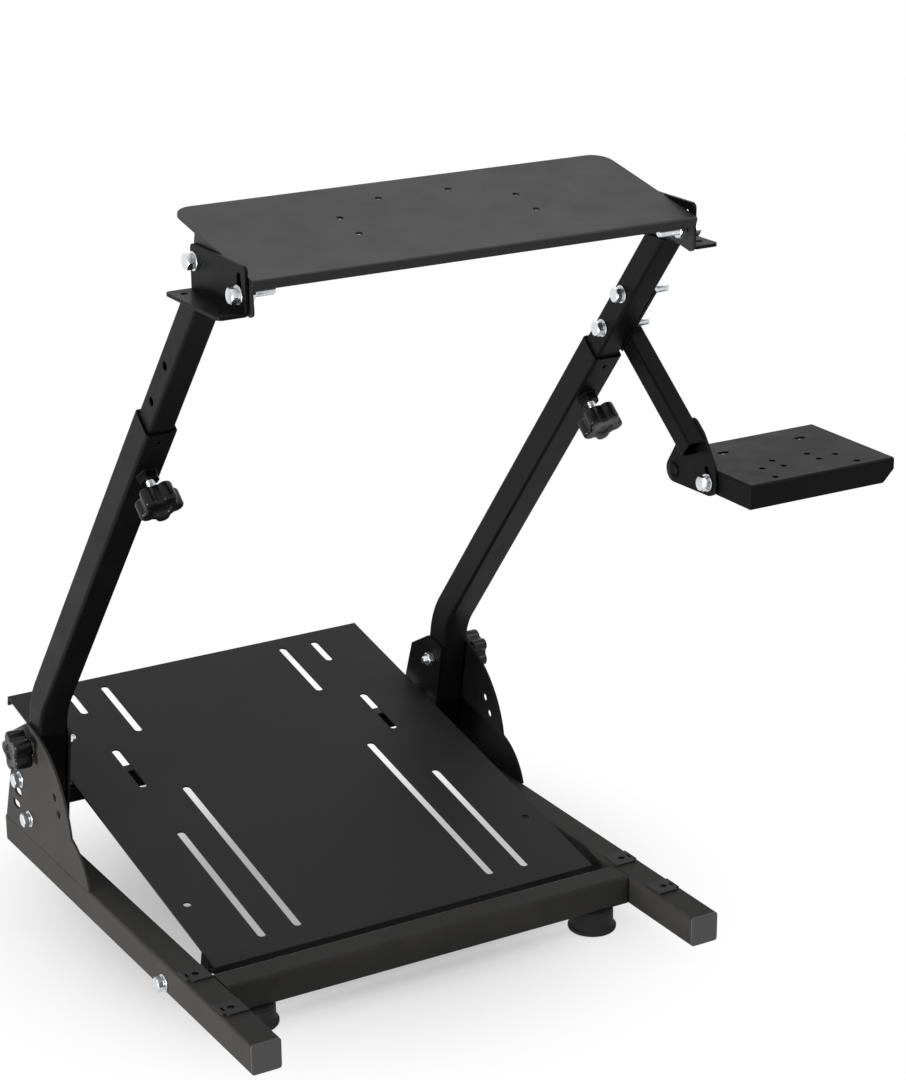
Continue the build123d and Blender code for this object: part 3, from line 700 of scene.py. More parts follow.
@dataclass(frozen=True)
class PowderCoat:
    """Polyester powder coat baked on steel: satin black with a faint orange peel.

    The powder draws back from sharp edges as it melts, so edges are a little rounder and
    smoother; their paler colour is a painted highlight where edges catch the light. The real
    peel is about 1.5 mm across; it is drawn at peel millimetres so that it shows in the render.
    """

    name: str
    colour: str
    edge_highlight_colour: str
    roughness: float
    specular: float
    peel: float = 3.2
    cloud: float = 45.0
    cloud_depth: float = 0.14
    smoother: float = 0.05
    rougher: float = 0.07
    edge: float = 0.7
    edge_cosines: tuple[float, float] = (0.995, 0.8)

    def make(self) -> bpy.types.Material:
        """Make the material.

        Returns:
            The coat, whose edges are found where a rounded normal leaves the flat one and are painted paler
            there as a highlight.
        """
        material, tree = new_material(self.name)
        place = add_node(tree, "ShaderNodeTexCoord").outputs["Object"]
        peel = add_node(
            tree,
            "ShaderNodeTexNoise",
            {"Scale": per_metre(self.peel), "Detail": 2.0, "Roughness": 0.45},
            {"Vector": place},
        )
        cloud = add_node(
            tree,
            "ShaderNodeTexNoise",
            {"Scale": per_metre(self.cloud), "Detail": 4.0, "Roughness": 0.6},
            {"Vector": place},
        )
        rounded = add_node(tree, "ShaderNodeBevel", {"samples": 4, "Radius": self.edge / 1000})
        flat = add_node(tree, "ShaderNodeNewGeometry").outputs["Normal"]
        same = add_node(
            tree,
            "ShaderNodeVectorMath",
            {"operation": "DOT_PRODUCT"},
            {0: rounded.outputs["Normal"], 1: flat},
        )
        edge_highlight_mask = add_node(
            tree,
            "ShaderNodeMapRange",
            {"From Min": self.edge_cosines[0], "From Max": self.edge_cosines[1]},
            {"Value": same.outputs["Value"]},
        )
        # Painted highlight: the coat turns to the paler edge colour along its edges
        tint = add_node(
            tree,
            "ShaderNodeMix",
            {"data_type": "RGBA", 6: linear(self.colour), 7: linear(self.edge_highlight_colour)},
            {0: edge_highlight_mask.outputs["Result"]},
        )
        shade = add_node(
            tree,
            "ShaderNodeMapRange",
            {**NOISE_SPAN, "To Min": 1 - self.cloud_depth, "To Max": 1 + self.cloud_depth},
            {"Value": cloud.outputs["Fac"]},
        )
        base = add_node(
            tree,
            "ShaderNodeHueSaturation",
            {},
            {"Color": tint.outputs[2], "Value": shade.outputs["Result"]},
        )
        bump = add_node(
            tree,
            "ShaderNodeBump",
            {"Strength": 0.16, "Distance": 0.0004},
            {"Height": peel.outputs["Fac"], "Normal": rounded.outputs["Normal"]},
        )
        gloss = (self.roughness - self.smoother, self.roughness + self.rougher)
        sets = {"Specular IOR Level": self.specular}
        close_surface(tree, base.outputs["Color"], cloud.outputs["Fac"], gloss, bump.outputs["Normal"], sets)
        return material


@dataclass(frozen=True)
class ZincPlate:
    """Steel electroplated with bright zinc and clear chromate: a silvery metal with faint clouds.

    The plating bath leaves patches of finer and coarser grain, a few millimetres across,
    that change its gloss more than its colour.
    """

    name: str
    colour: str
    cloud_colour: str
    roughness: float
    patch: float = 4.0
    grain: float = 0.9
    smoother: float = 0.06
    rougher: float = 0.1

    def make(self) -> bpy.types.Material:
        """Make the material.

        Returns:
            The plating, with its patches in colour and gloss.
        """
        material, tree = new_material(self.name)
        place = add_node(tree, "ShaderNodeTexCoord").outputs["Object"]
        patch = add_node(
            tree,
            "ShaderNodeTexNoise",
            {"Scale": per_metre(self.patch), "Detail": 3.0},
            {"Vector": place},
        )
        grain = add_node(
            tree,
            "ShaderNodeTexNoise",
            {"Scale": per_metre(self.grain), "Detail": 1.0},
            {"Vector": place},
        )
        tint = add_node(
            tree,
            "ShaderNodeMix",
            {"data_type": "RGBA", 6: linear(self.colour), 7: linear(self.cloud_colour)},
            {0: patch.outputs["Fac"]},
        )
        bump = add_node(
            tree,
            "ShaderNodeBump",
            {"Strength": 0.08, "Distance": 0.0002},
            {"Height": grain.outputs["Fac"]},
        )
        gloss = (self.roughness - self.smoother, self.roughness + self.rougher)
        sets = {"Metallic": 1.0}
        close_surface(tree, tint.outputs[2], patch.outputs["Fac"], gloss, bump.outputs["Normal"], sets)
        return material


@dataclass(frozen=True)
class MouldedPlastic:
    """A moulded polymer with its mould's surface: polished on knobs, spark-eroded on caps, matt on rubber.

    The spark texture is about 0.4 mm across; it is drawn at grain millimetres so that it shows.
    Handling leaves patches that are a little glossier.
    """

    name: str
    colour: str
    worn_colour: str
    roughness: float
    ior: float
    grain: float
    depth: float
    specular: float = 0.5
    patch: float = 14.0
    smoother: float = 0.05
    rougher: float = 0.08

    def make(self) -> bpy.types.Material:
        """Make the material.

        Returns:
            The polymer, with its grain and its handled patches.
        """
        material, tree = new_material(self.name)
        place = add_node(tree, "ShaderNodeTexCoord").outputs["Object"]
        grain = add_node(
            tree,
            "ShaderNodeTexNoise",
            {"Scale": per_metre(self.grain), "Detail": 2.0},
            {"Vector": place},
        )
        patch = add_node(
            tree,
            "ShaderNodeTexNoise",
            {"Scale": per_metre(self.patch), "Detail": 4.0, "Roughness": 0.65},
            {"Vector": place},
        )
        tint = add_node(
            tree,
            "ShaderNodeMix",
            {"data_type": "RGBA", 6: linear(self.colour), 7: linear(self.worn_colour)},
            {0: patch.outputs["Fac"]},
        )
        bump = add_node(
            tree,
            "ShaderNodeBump",
            {"Strength": self.depth, "Distance": 0.0004},
            {"Height": grain.outputs["Fac"]},
        )
        gloss = (self.roughness - self.smoother, self.roughness + self.rougher)
        sets = {"IOR": self.ior, "Specular IOR Level": self.specular}
        close_surface(tree, tint.outputs[2], patch.outputs["Fac"], gloss, bump.outputs["Normal"], sets)
        return material


@dataclass
class Finishes:
    """All finishes of the stand, made once."""

    # The coat's own black. Its paler edge colour is a painted highlight.
    tube_coat: bpy.types.Material = field(
        default_factory=PowderCoat(
            "satin_black_powder_coat", "#0e0e0e", "#262626", roughness=0.42, specular=0.06
        ).make
    )
    # The same coat painted lighter, standing in for the light that falls on the base's rails and left
    # gusset.
    base_coat_painted_lit: bpy.types.Material = field(
        default_factory=PowderCoat(
            "satin_black_powder_coat_on_base", "#3a3938", "#4e4d4c", roughness=0.5, specular=0.03
        ).make
    )
    # The same coat painted lighter, standing in for the light on the tray, the rail tabs and the left inner
    # gusset.
    sheet_coat_painted_lit: bpy.types.Material = field(
        default_factory=PowderCoat(
            "satin_black_powder_coat_on_sheet", "#292929", "#404040", roughness=0.5, specular=0.1
        ).make
    )
    # The same coat painted lighter and made glossier, standing in for the light and sheen on the wheel
    # plate's top.
    plate_coat_painted_lit: bpy.types.Material = field(
        default_factory=PowderCoat(
            "satin_black_powder_coat_on_plate", "#1b1a1a", "#323131", roughness=0.45, specular=0.24
        ).make
    )
    zinc: bpy.types.Material = field(
        default_factory=ZincPlate("bright_zinc_plated_steel", "#e4e6e8", "#d0d4d8", roughness=0.28).make
    )
    knob: bpy.types.Material = field(
        default_factory=MouldedPlastic(
            "polished_black_polyamide", "#0b0b0d", "#141417",
            roughness=0.26, ior=1.53, grain=1.6, depth=0.05, specular=0.18,
        ).make
    )
    cap: bpy.types.Material = field(
        default_factory=MouldedPlastic(
            "spark_textured_dark_grey_polyethylene", "#3a3a3a", "#444444",
            roughness=0.5, ior=1.51, grain=1.1, depth=0.2,
        ).make
    )
    rubber: bpy.types.Material = field(
        default_factory=MouldedPlastic(
            "matt_black_moulded_rubber", "#131313", "#1f1f1f",
            roughness=0.72, ior=1.5, grain=1.3, depth=0.3, specular=0.3,
        ).make
    )


def dress(made: bpy.types.Object, material: bpy.types.Material, body: Body, slot: Slot, *nodes: str) -> None:
    """Give a new piece its finish, its body and the nodes that it stands for.

    Args:
        made: The piece.
        material: Its finish.
        body: The body that it rides on.
        slot: The record's slot of its finish; not used.
        nodes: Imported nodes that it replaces.
    """
    made.data.materials.append(material)
    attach(made, body.value)
    if nodes:
        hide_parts(*nodes)
    log.info("%s rides on %s: %d faces", made.name, body.value, len(made.data.polygons))


# Sub-assemblies


@dataclass(frozen=True)
class Fasteners:
    """M8 bolts, studs and nuts with their washers, as zinc-plated sets on their bodies."""

    setting: Setting
    finishes: Finishes
    bolt: float = 4.0
    washer: float = 8.4
    washer_soft: float = 0.3
    spring_outer: float = 6.8
    spring_inner: float = 4.3
    spring_core: float = 4.2
    spring_thick: float = 2.0
    spring_gap: float = 14.0
    flats: float = 13.0
    head: float = 5.3
    nut: float = 6.5
    thin_nut: float = 4.0
    tail: float = 5.0
    slide_tail: float = 20.0
    mount_tail: float = 17.0
    thread_sink: float = 0.4
    stud_end: float = 2.5
    sleeve_radius: float = 6.0
    sleeve_length: float = 10.5
    lug_shank: float = 6.0
    lug_play: float = 1.0
    loose: float = 0.3
    rivet_reach: float = 6.3
    rivet_head: float = 8.0
    rivet_rim: float = 0.6
    rivet_dome: float = 2.4
    clamp_nut: float = 8.0
    clamp_thread_from: float = 7.4
    clamp_stud_back: float = 2.2
    washer_sides: int = 40
    shank_sides: int = 24

    def washer_on(self, batch: MeshBatch, seat: Seat) -> None:
        """Add a stamped flat washer: a disc with a small burr-free rounding at its rim.

        Args:
            batch: The mesh to add to.
            seat: Where the washer lies.
        """
        rim, top, soft = self.washer, self.setting.washer_thick, self.washer_soft
        profile = np.array([
            [0.0, 0.0], [rim - soft, 0.0], [rim, soft], [rim, top - soft], [rim - soft, top], [0.0, top],
        ])
        batch.add(seat.put(turned(profile, self.washer_sides)))

    def head_on(self, batch: MeshBatch, seat: Seat, turn: float) -> None:
        """Add a flat washer, a spring washer and a hexagon head.

        Args:
            batch: The mesh to add to.
            seat: Where the washer lies.
            turn: How far the spring washer's split is turned, in degrees.
        """
        self.washer_on(batch, seat)
        split = seat.raised(self.setting.washer_thick)
        angle = math.radians(turn)
        zero = split.zero * math.cos(angle) + np.cross(split.axis, split.zero) * math.sin(angle)
        ring = split_ring(self.spring_inner, self.spring_outer, self.spring_thick, self.spring_gap)
        batch.add(Seat(split.origin, split.axis, zero).put(ring))
        self.shank(batch, split, self.spring_core, self.spring_thick)
        over = seat.raised(self.setting.washer_thick + self.spring_thick)
        batch.add(over.put(hexagon_block(self.flats, self.head, False)))

    def nut_on(self, batch: MeshBatch, seat: Seat, height: float, tail: float) -> None:
        """Add a nut cut at both ends and the bolt's threaded end past it.

        Args:
            batch: The mesh to add to.
            seat: Where the nut lies.
            height: The nut's height, in millimetres.
            tail: How far the thread stands out of the nut, in millimetres.
        """
        batch.add(seat.put(hexagon_block(self.flats, height, True)))
        if tail > 0:
            batch.add(seat.raised(height - self.thread_sink).put(thread(self.bolt, tail + self.thread_sink)))

    def shank(self, batch: MeshBatch, seat: Seat, radius: float, length: float) -> None:
        """Add a plain round length, along the seat's axis or, where negative, against it."""
        profile = np.array([[0.0, 0.0], [radius, 0.0], [radius, length], [0.0, length]])
        batch.add(seat.put(turned(profile, self.shank_sides)))

    def plated(self, batch: MeshBatch, name: str, body: Body, node: str) -> None:
        """Make a zinc-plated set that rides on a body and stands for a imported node."""
        dress(batch.make(name), self.finishes.zinc, body, Slot.ZINC, node)

    def foot_studs(self) -> None:
        """Make the levelling studs and nuts over the rear feet."""
        s = self.setting
        batch = MeshBatch(s)
        tail = s.rear_cross_low - s.foot_height - self.nut
        for side in Side:
            origin = np.array([side.value * s.rear_foot[0], s.rear_foot[1], s.rear_cross_low])
            self.nut_on(batch, Seat(origin, -UPWARD, ACROSS), self.nut, tail)
        self.plated(batch, "rear_foot_stud_set", Body.BASE, "rear_foot_studs")

    def fold_bolts(self) -> None:
        """Make the fold pivots, the lock studs' washers and the lock nuts on the gussets."""
        s = self.setting
        pivots, studs, nuts = MeshBatch(s), MeshBatch(s), MeshBatch(s)
        for side in Side:
            sign = side.value
            outer, inner = sign * s.outer_face, sign * s.gusset_inside
            self.head_on(pivots, facing(outer, s.pivot, sign), turn=40.0)
            self.shank(pivots, facing(inner, s.pivot, sign), self.bolt, s.outer_face - s.gusset_inside)
            self.nut_on(pivots, facing(inner, s.pivot, -sign), self.thin_nut, tail=0.0)
            self.washer_on(studs, facing(outer, s.lock_point, sign))
            self.shank(studs, facing(outer, s.lock_point, sign), self.bolt, -self.stud_end)
            self.nut_on(nuts, facing(inner, s.lock_point, -sign), self.nut, self.tail)
            self.shank(nuts, facing(inner, s.lock_point, sign), self.bolt, self.stud_end)
        self.plated(pivots, "fold_pivot_set", Body.BASE, "fold_pivot_bolts")
        self.plated(studs, "fold_lock_stud_set", Body.BASE, "fold_lock_studs")
        self.plated(nuts, "fold_lock_nut_set", Body.BASE, "fold_lock_nuts")

    def tray_bolts(self) -> None:
        """Make the tray's pivot bolts with their sleeves, its rear bolts and the nuts on its lugs."""
        s = self.setting
        front, rear, lugs = MeshBatch(s), MeshBatch(s), MeshBatch(s)
        stop = s.tray_lug_x - self.lug_play
        for side in Side:
            sign = side.value
            outer, inner, lug = sign * s.outer_face, sign * s.gusset_inside, sign * s.tray_lug_x
            rail_inside = sign * (s.outer_face - s.rail_size)
            self.head_on(front, facing(outer, s.tray_pivot, sign), turn=75.0)
            self.shank(front, facing(sign * stop, s.tray_pivot, sign), self.bolt, s.outer_face - stop)
            sleeve_seat = facing(rail_inside, s.tray_pivot, -sign)
            self.shank(front, sleeve_seat, self.sleeve_radius, self.sleeve_length)
            self.nut_on(front, facing(sign * stop, s.tray_pivot, -sign), self.nut, self.tail)
            self.head_on(rear, facing(outer, s.tray_bolt, sign), turn=110.0)
            self.shank(rear, facing(inner, s.tray_bolt, sign), self.bolt, s.outer_face - s.gusset_inside)
            self.nut_on(lugs, facing(lug, s.tray_bolt, -sign), self.nut, self.tail)
            self.shank(lugs, facing(lug, s.tray_bolt, sign), self.bolt, self.lug_shank)
        self.plated(front, "tray_pivot_set", Body.BASE, "tray_pivot_bolts")
        self.plated(rear, "tray_rear_set", Body.BASE, "tray_rear_bolts")
        self.plated(lugs, "tray_lug_set", Body.TRAY, "tray_lug_bolts")

    def tilt_bolts(self) -> None:
        """Make the wheel plate's pivot bolts and the long bolts that slide in the curved slots."""
        s = self.setting
        pivots, slides = MeshBatch(s), MeshBatch(s)
        outside = s.bracket_inner + s.bracket_thick
        slide_face = outside + self.loose
        end = s.ear_inner - self.loose
        for side in Side:
            sign = side.value
            ear = sign * s.ear_inner
            self.head_on(pivots, facing(sign * outside, s.tilt_axis, sign), turn=20.0)
            self.shank(pivots, facing(sign * end, s.tilt_axis, sign), self.bolt, outside - end)
            self.nut_on(pivots, facing(sign * end, s.tilt_axis, -sign), self.nut, self.tail)
            self.head_on(slides, facing(sign * slide_face, s.tilt_bolt, sign), turn=160.0)
            self.shank(slides, facing(ear, s.tilt_bolt, sign), self.bolt, slide_face - s.ear_inner)
            self.nut_on(slides, facing(ear, s.tilt_bolt, -sign), self.nut, self.slide_tail)
        self.plated(pivots, "tilt_pivot_set", Body.CARRIAGE, "tilt_pivot_bolts")
        self.plated(slides, "tilt_slot_set", Body.PLATE, "tilt_slot_bolts")

    def arm_bolts(self) -> None:
        """Make the side arm's bolts and the shifter plate's slot bolt."""
        s = self.setting
        mounts, slide = MeshBatch(s), MeshBatch(s)
        inner_face = s.upright_axis_x - s.inner_half
        for hole in s.cross_holes:
            self.head_on(mounts, facing(inner_face, hole, -1), turn=60.0)
            self.shank(mounts, facing(inner_face, hole, 1), self.bolt, s.mount_outside - inner_face)
            self.nut_on(mounts, facing(s.mount_outside, hole, 1, s.upper_way), self.nut, self.mount_tail)
        self.plated(mounts, "shifter_mount_set", Body.CARRIAGE, "shifter_mount_bolts")
        start = s.end_x - self.loose
        self.head_on(slide, facing(start, s.side_bolt, -1), turn=200.0)
        self.shank(slide, facing(start, s.side_bolt, 1), self.bolt, s.side_sheet_x - start)
        self.nut_on(slide, facing(s.side_sheet_x, s.side_bolt, 1), self.nut, self.tail)
        self.plated(slide, "shifter_slot_set", Body.SHIFTER, "shifter_slot_bolt")

    def side_rivet(self) -> None:
        """Make the shifter plate's riveted pivot pin: a round length with a domed head at each end."""
        s = self.setting
        pin = MeshBatch(s)
        dome = np.linspace(0.0, np.pi / 2, 7)
        crown = [self.rivet_head * np.cos(dome), self.rivet_rim + self.rivet_dome * np.sin(dome)]
        profile = np.concatenate([[[0.0, 0.0], [self.rivet_head, 0.0]], np.stack(crown, axis=-1)])
        head = turned(profile, self.washer_sides)
        pin.add(facing(s.end_x, s.side_pivot, -1).put(head))
        pin.add(facing(s.end_x + self.rivet_reach, s.side_pivot, 1).put(head))
        self.shank(pin, facing(s.end_x, s.side_pivot, 1), self.bolt, self.rivet_reach)
        rivet = pin.make("shifter_pivot_rivet")
        dress(rivet, self.finishes.tube_coat, Body.CARRIAGE, Slot.COAT, "shifter_pivot_pin")

    def clamp_parts(self) -> None:
        """Make the height clamps' welded nuts, which are coated over, and their threaded studs."""
        s = self.setting
        nuts, studs = MeshBatch(s), MeshBatch(s)
        start, back = self.clamp_thread_from, self.clamp_stud_back
        for side in Side:
            seat = s.front_seat(side)
            nuts.add(seat.put(hexagon_block(s.clamp_flats, self.clamp_nut, True)))
            studs.add(seat.raised(start).put(thread(self.bolt, s.clamp_standoff - start)))
            self.shank(studs, seat.raised(-back), self.bolt, start + back)
        welded = nuts.make("height_clamp_weld_nuts")
        dress(welded, self.finishes.tube_coat, Body.UPRIGHTS, Slot.COAT, "height_clamp_nuts")
        self.plated(studs, "height_clamp_stud_set", Body.UPRIGHTS, "height_clamp_studs")

    def build(self) -> None:
        """Make all fasteners."""
        self.foot_studs()
        self.fold_bolts()
        self.tray_bolts()
        self.tilt_bolts()
        self.arm_bolts()
        self.side_rivet()
        self.clamp_parts()


@dataclass(frozen=True)
class StarKnobs:
    """Five-lobed moulded knobs on the fold locks and the height clamps.

    The rows of the hub's lip, its foot and the sprue mark are pairs of a radius and a height:
    past the hub and over the face, past the hub and over its floor, and over its floor.
    """

    setting: Setting
    finishes: Finishes
    lobes: int = 5
    core: float = 15.6
    pitch: float = 14.5
    lobe: float = 6.5
    neck: float = 4.0
    neck_radius: float = 8.5
    neck_flare: float = 0.6
    thick: float = 18.0
    soft: float = 2.6
    face_inset: float = 1.6
    hub: float = 8.0
    hub_depth: float = 1.4
    hub_lip: tuple[tuple[float, float], ...] = ((1.2, 0.0), (0.4, -0.3))
    hub_foot: tuple[tuple[float, float], ...] = ((0.0, 0.2), (-0.3, 0.0))
    sprue: tuple[tuple[float, float], ...] = ((1.6, 0.0), (1.2, 0.35), (0.0, 0.35))
    crease: float = 40.0

    def surface(self) -> Array:
        """Give one knob's surface: its star outline drawn in by quarter circles at both faces.

        The neck is a round length below, the top dips to a round hub with a small sprue mark.

        Returns:
            A rows by columns by 3 grid.
        """
        outline = star_outline(self.lobes, self.core, self.pitch, self.lobe)
        turn = np.linspace(0.0, np.pi / 2, 6)
        low, high = self.neck, self.neck + self.thick
        rise = self.soft * (1 - np.cos(turn))
        inset = self.soft * (1 - np.sin(turn))
        insets = np.concatenate([inset, inset[::-1], [self.soft + self.face_inset]])
        heights = np.concatenate([low + rise, high - rise[::-1], [high]])
        floor = high - self.hub_depth
        neck, flare = self.neck_radius, self.neck_flare
        below = [(0.0, 0.0), (neck, 0.0), (neck, low - flare), (neck + flare, low)]
        above = [(self.hub + radius, high + height) for radius, height in self.hub_lip]
        above += [(self.hub + radius, floor + height) for radius, height in self.hub_foot]
        above += [(radius, floor + height) for radius, height in self.sprue]
        rings = [
            around(rows[:, :1], outline[0], rows[:, 1:]) for rows in (np.array(below), np.array(above))
        ]
        return np.concatenate([rings[0], outline_stack(outline, insets, heights), rings[1]])

    def build(self) -> None:
        """Make the four knobs."""
        s = self.setting
        surface = self.surface()
        for side in Side:
            sign = side.value
            name = side.name.lower()
            for kind, seat, body in (
                ("fold", facing(sign * (s.outer_face + s.washer_thick), s.lock_point, sign), Body.BASE),
                ("height", s.front_seat(side).raised(s.clamp_standoff), Body.UPRIGHTS),
            ):
                batch = MeshBatch(s)
                batch.add(seat.put(surface))
                made = batch.make(f"{name}_{kind}_star_knob", self.crease)
                dress(made, self.finishes.knob, body, Slot.KNOB, f"{name}_{kind}_knob")


@dataclass(frozen=True)
class BaseTrim:
    """Rubber feet under the base and plastic caps in the rails' ends.

    The rows of a cap's plug and rim are pairs of an inset from the tube's outline and a
    height over the tube's end.
    """

    setting: Setting
    finishes: Finishes
    foot_top: float = 21.0
    foot_lip: float = 24.0
    foot_sides: int = 64
    lip_round: float = 2.0
    lip_top: float = 4.0
    sole_inset: float = 2.2
    groove_pitch: float = 4.4
    groove_depth: float = 0.7
    groove_shift: float = 0.45
    waist_low: float = 4.2
    waist_rise: float = 4.6
    waist_power: float = 1.4
    waist_insets: tuple[float, float] = (0.25, 0.2)
    band_drops: tuple[float, float, float] = (4.6, 3.0, 2.6)
    band_step: float = 0.7
    cap_plug: tuple[tuple[float, float], ...] = (
        (1.9, -12.0), (1.9, -7.0), (2.2, -6.5), (1.9, -6.0), (1.9, 0.0),
    )
    cap_rim: tuple[tuple[float, float], ...] = (
        (0.5, 0.0), (0.15, 0.15), (0.0, 0.5), (0.0, 1.2), (0.2, 1.6), (0.7, 1.8), (3.0, 1.9),
    )
    cap_crown: float = 2.0

    def foot_profile(self) -> Array:
        """Give a foot's half section: a grooved sole, a rounded lip and a waist that flares into it.

        The grooves are the upper parts of a cosine wave of the radius, the lip is a quarter
        circle, and the waist's radius falls by a sine while its height grows by a power.

        Returns:
            Rows of radius and height, in millimetres.
        """
        sole = np.linspace(0.0, self.foot_lip - self.sole_inset, 45)
        wave = np.cos(sole * (2 * np.pi / self.groove_pitch))
        groove = self.groove_depth * np.clip(wave - self.groove_shift, 0.0, 1.0)
        turn = np.linspace(-np.pi / 2, 0.0, 7)[1:]
        bend = self.lip_round
        lip = [self.foot_lip - bend + bend * np.cos(turn), bend + bend * np.sin(turn)]
        part = np.linspace(0.0, 1.0, 9)
        wide = self.foot_lip - self.waist_insets[0]
        flare = wide - (wide - self.foot_top - self.waist_insets[1]) * np.sin(part * np.pi / 2)
        waist = [flare, self.waist_low + self.waist_rise * part**self.waist_power]
        top, height = self.foot_top, self.setting.foot_height
        low, high, step = (height - drop for drop in self.band_drops)
        neck = top - self.band_step
        shoulder = [[top, low], [top, high], [neck, step], [neck, height], [0.0, height]]
        return np.concatenate([
            np.stack([sole, groove], axis=-1),
            np.stack(lip, axis=-1),
            [[self.foot_lip, self.lip_top]],
            np.stack(waist, axis=-1),
            shoulder,
        ])

    def feet(self) -> None:
        """Make the four feet as turned surfaces."""
        s = self.setting
        batch = MeshBatch(s)
        surface = turned(self.foot_profile(), self.foot_sides)
        for side in Side:
            for x, y in (s.front_foot, s.rear_foot):
                batch.add(surface + np.array([side.value * x, y, 0.0]))
        dress(batch.make("moulded_feet"), self.finishes.rubber, Body.BASE, Slot.RUBBER, "rubber_feet")

    def caps(self) -> None:
        """Make the four caps: a pillowed face, a rounded rim, a thin seam at the tube and a grooved plug."""
        s = self.setting
        batch = MeshBatch(s)
        flat = rounded_square(s.rail_size / 2, s.tube_corner)
        outline = np.stack([np.arctan2(flat[1], flat[0]), np.hypot(flat[0], flat[1])])
        # An inset as wide as the tube closes the first and the last row on the axis
        back, front = (s.rail_size, self.cap_plug[0][1]), (s.rail_size, self.cap_crown)
        rows = np.array([back, *self.cap_plug, *self.cap_rim, front])
        surface = outline_stack(outline, rows[:, 0], rows[:, 1])
        for side in Side:
            for y, way in zip(s.cap_seats, (-1.0, 1.0)):
                origin = np.array([side.value * s.rail_axis_x, y, s.rail_axis_lift])
                batch.add(Seat(origin, np.array([0.0, way, 0.0]), ACROSS).put(surface))
        dress(batch.make("moulded_end_caps"), self.finishes.cap, Body.BASE, Slot.CAP, "rail_end_caps")

    def build(self) -> None:
        """Make the feet and the caps."""
        self.feet()
        self.caps()


@dataclass(frozen=True)
class WeldBeads:
    """Hand-run weld beads, coated over, where tubes and plates are joined for good.

    mount_bead and end_bead give a start from the arm's end and a length along the arm.
    """

    setting: Setting
    finishes: Finishes
    bead: float = 1.7
    fine_bead: float = 1.2
    off_face: float = 0.4
    fine_off_face: float = 0.3
    into_edge: float = 0.2
    short_of_corner: float = 2.2
    rear_half: float = 10.0
    stitches: tuple[float, float] = (505.0, 545.0)
    stitch_half: float = 14.0
    stitch_lift: float = 28.3
    mount_bead: tuple[float, float] = (1.5, 10.5)
    end_bead: tuple[float, float] = (2.0, 24.0)
    off_nut: float = 0.2
    nut_points: int = 48

    def straight(self, batch: MeshBatch, start: Array, end: Array, radius: float) -> None:
        """Add a bead along a straight joint."""
        batch.add(weld_bead(np.stack([start, end]), radius, False))

    def base_beads(self) -> None:
        """Make the beads at both cross tubes and the stitches under the gussets."""
        s = self.setting
        batch = MeshBatch(s)
        half = s.rail_size / 2
        inner_face = s.outer_face - s.rail_size
        low = s.rail_axis_lift - half + self.short_of_corner
        high = s.rail_axis_lift + half - self.short_of_corner
        loop = rounded_square(self.rear_half, s.tube_corner)
        for side in Side:
            sign = side.value
            x = sign * (inner_face - self.off_face)
            for edge in (-1, 1):
                y = s.front_foot[1] + edge * (half - self.into_edge)
                self.straight(batch, np.array([x, y, low]), np.array([x, y, high]), self.bead)
            ring = np.stack([
                np.full(loop.shape[1], sign * (s.gusset_inside - self.fine_off_face)),
                s.rear_foot[1] + loop[0],
                s.rear_cross_low + self.rear_half + loop[1],
            ], axis=-1)
            batch.add(weld_bead(ring, self.fine_bead, True))
            x = sign * (inner_face - self.fine_off_face)
            for y in self.stitches:
                start = np.array([x, y - self.stitch_half, self.stitch_lift])
                end = np.array([x, y + self.stitch_half, self.stitch_lift])
                self.straight(batch, start, end, self.fine_bead)
        dress(batch.make("base_weld_beads"), self.finishes.tube_coat, Body.BASE, Slot.COAT)

    def carriage_beads(self) -> None:
        """Make the beads round the inner tubes' tops and along the side arm's joints."""
        s = self.setting
        batch = MeshBatch(s)
        loop = rounded_square(s.inner_half, s.tube_corner, s.inner_half / s.upper_way[1])
        for side in Side:
            ring = np.stack([
                side.value * s.upright_axis_x + loop[0],
                s.inner_top[0] + loop[1],
                np.full(loop.shape[1], s.bracket_lift - self.fine_off_face),
            ], axis=-1)
            batch.add(weld_bead(ring, self.fine_bead, True))
        for edge in (-1, 1):
            lift = s.upper_way * edge * s.arm_half
            upper = s.arm_start + lift + s.front_way * self.mount_bead[0]
            start = point(s.mount_outside + self.fine_off_face, upper)
            self.straight(batch, start, start + point(0.0, s.front_way * self.mount_bead[1]), self.fine_bead)
            lower = s.arm_end + lift - s.front_way * self.end_bead[0]
            start = point(s.end_x - self.fine_off_face, lower)
            self.straight(batch, start, start - point(0.0, s.front_way * self.end_bead[1]), self.fine_bead)
        dress(batch.make("carriage_weld_beads"), self.finishes.tube_coat, Body.CARRIAGE, Slot.COAT)

    def clamp_beads(self) -> None:
        """Make the rings of weld round the height clamps' nuts."""
        s = self.setting
        batch = MeshBatch(s)
        angle = round_angles(self.nut_points)
        ring = around(hexagon_radius(angle, s.clamp_flats) + self.off_nut, angle, self.off_nut)
        for side in Side:
            batch.add(weld_bead(s.front_seat(side).put(ring), self.fine_bead, True))
        dress(batch.make("clamp_weld_beads"), self.finishes.tube_coat, Body.UPRIGHTS, Slot.COAT)

    def build(self) -> None:
        """Make all beads."""
        self.base_beads()
        self.carriage_beads()
        self.clamp_beads()


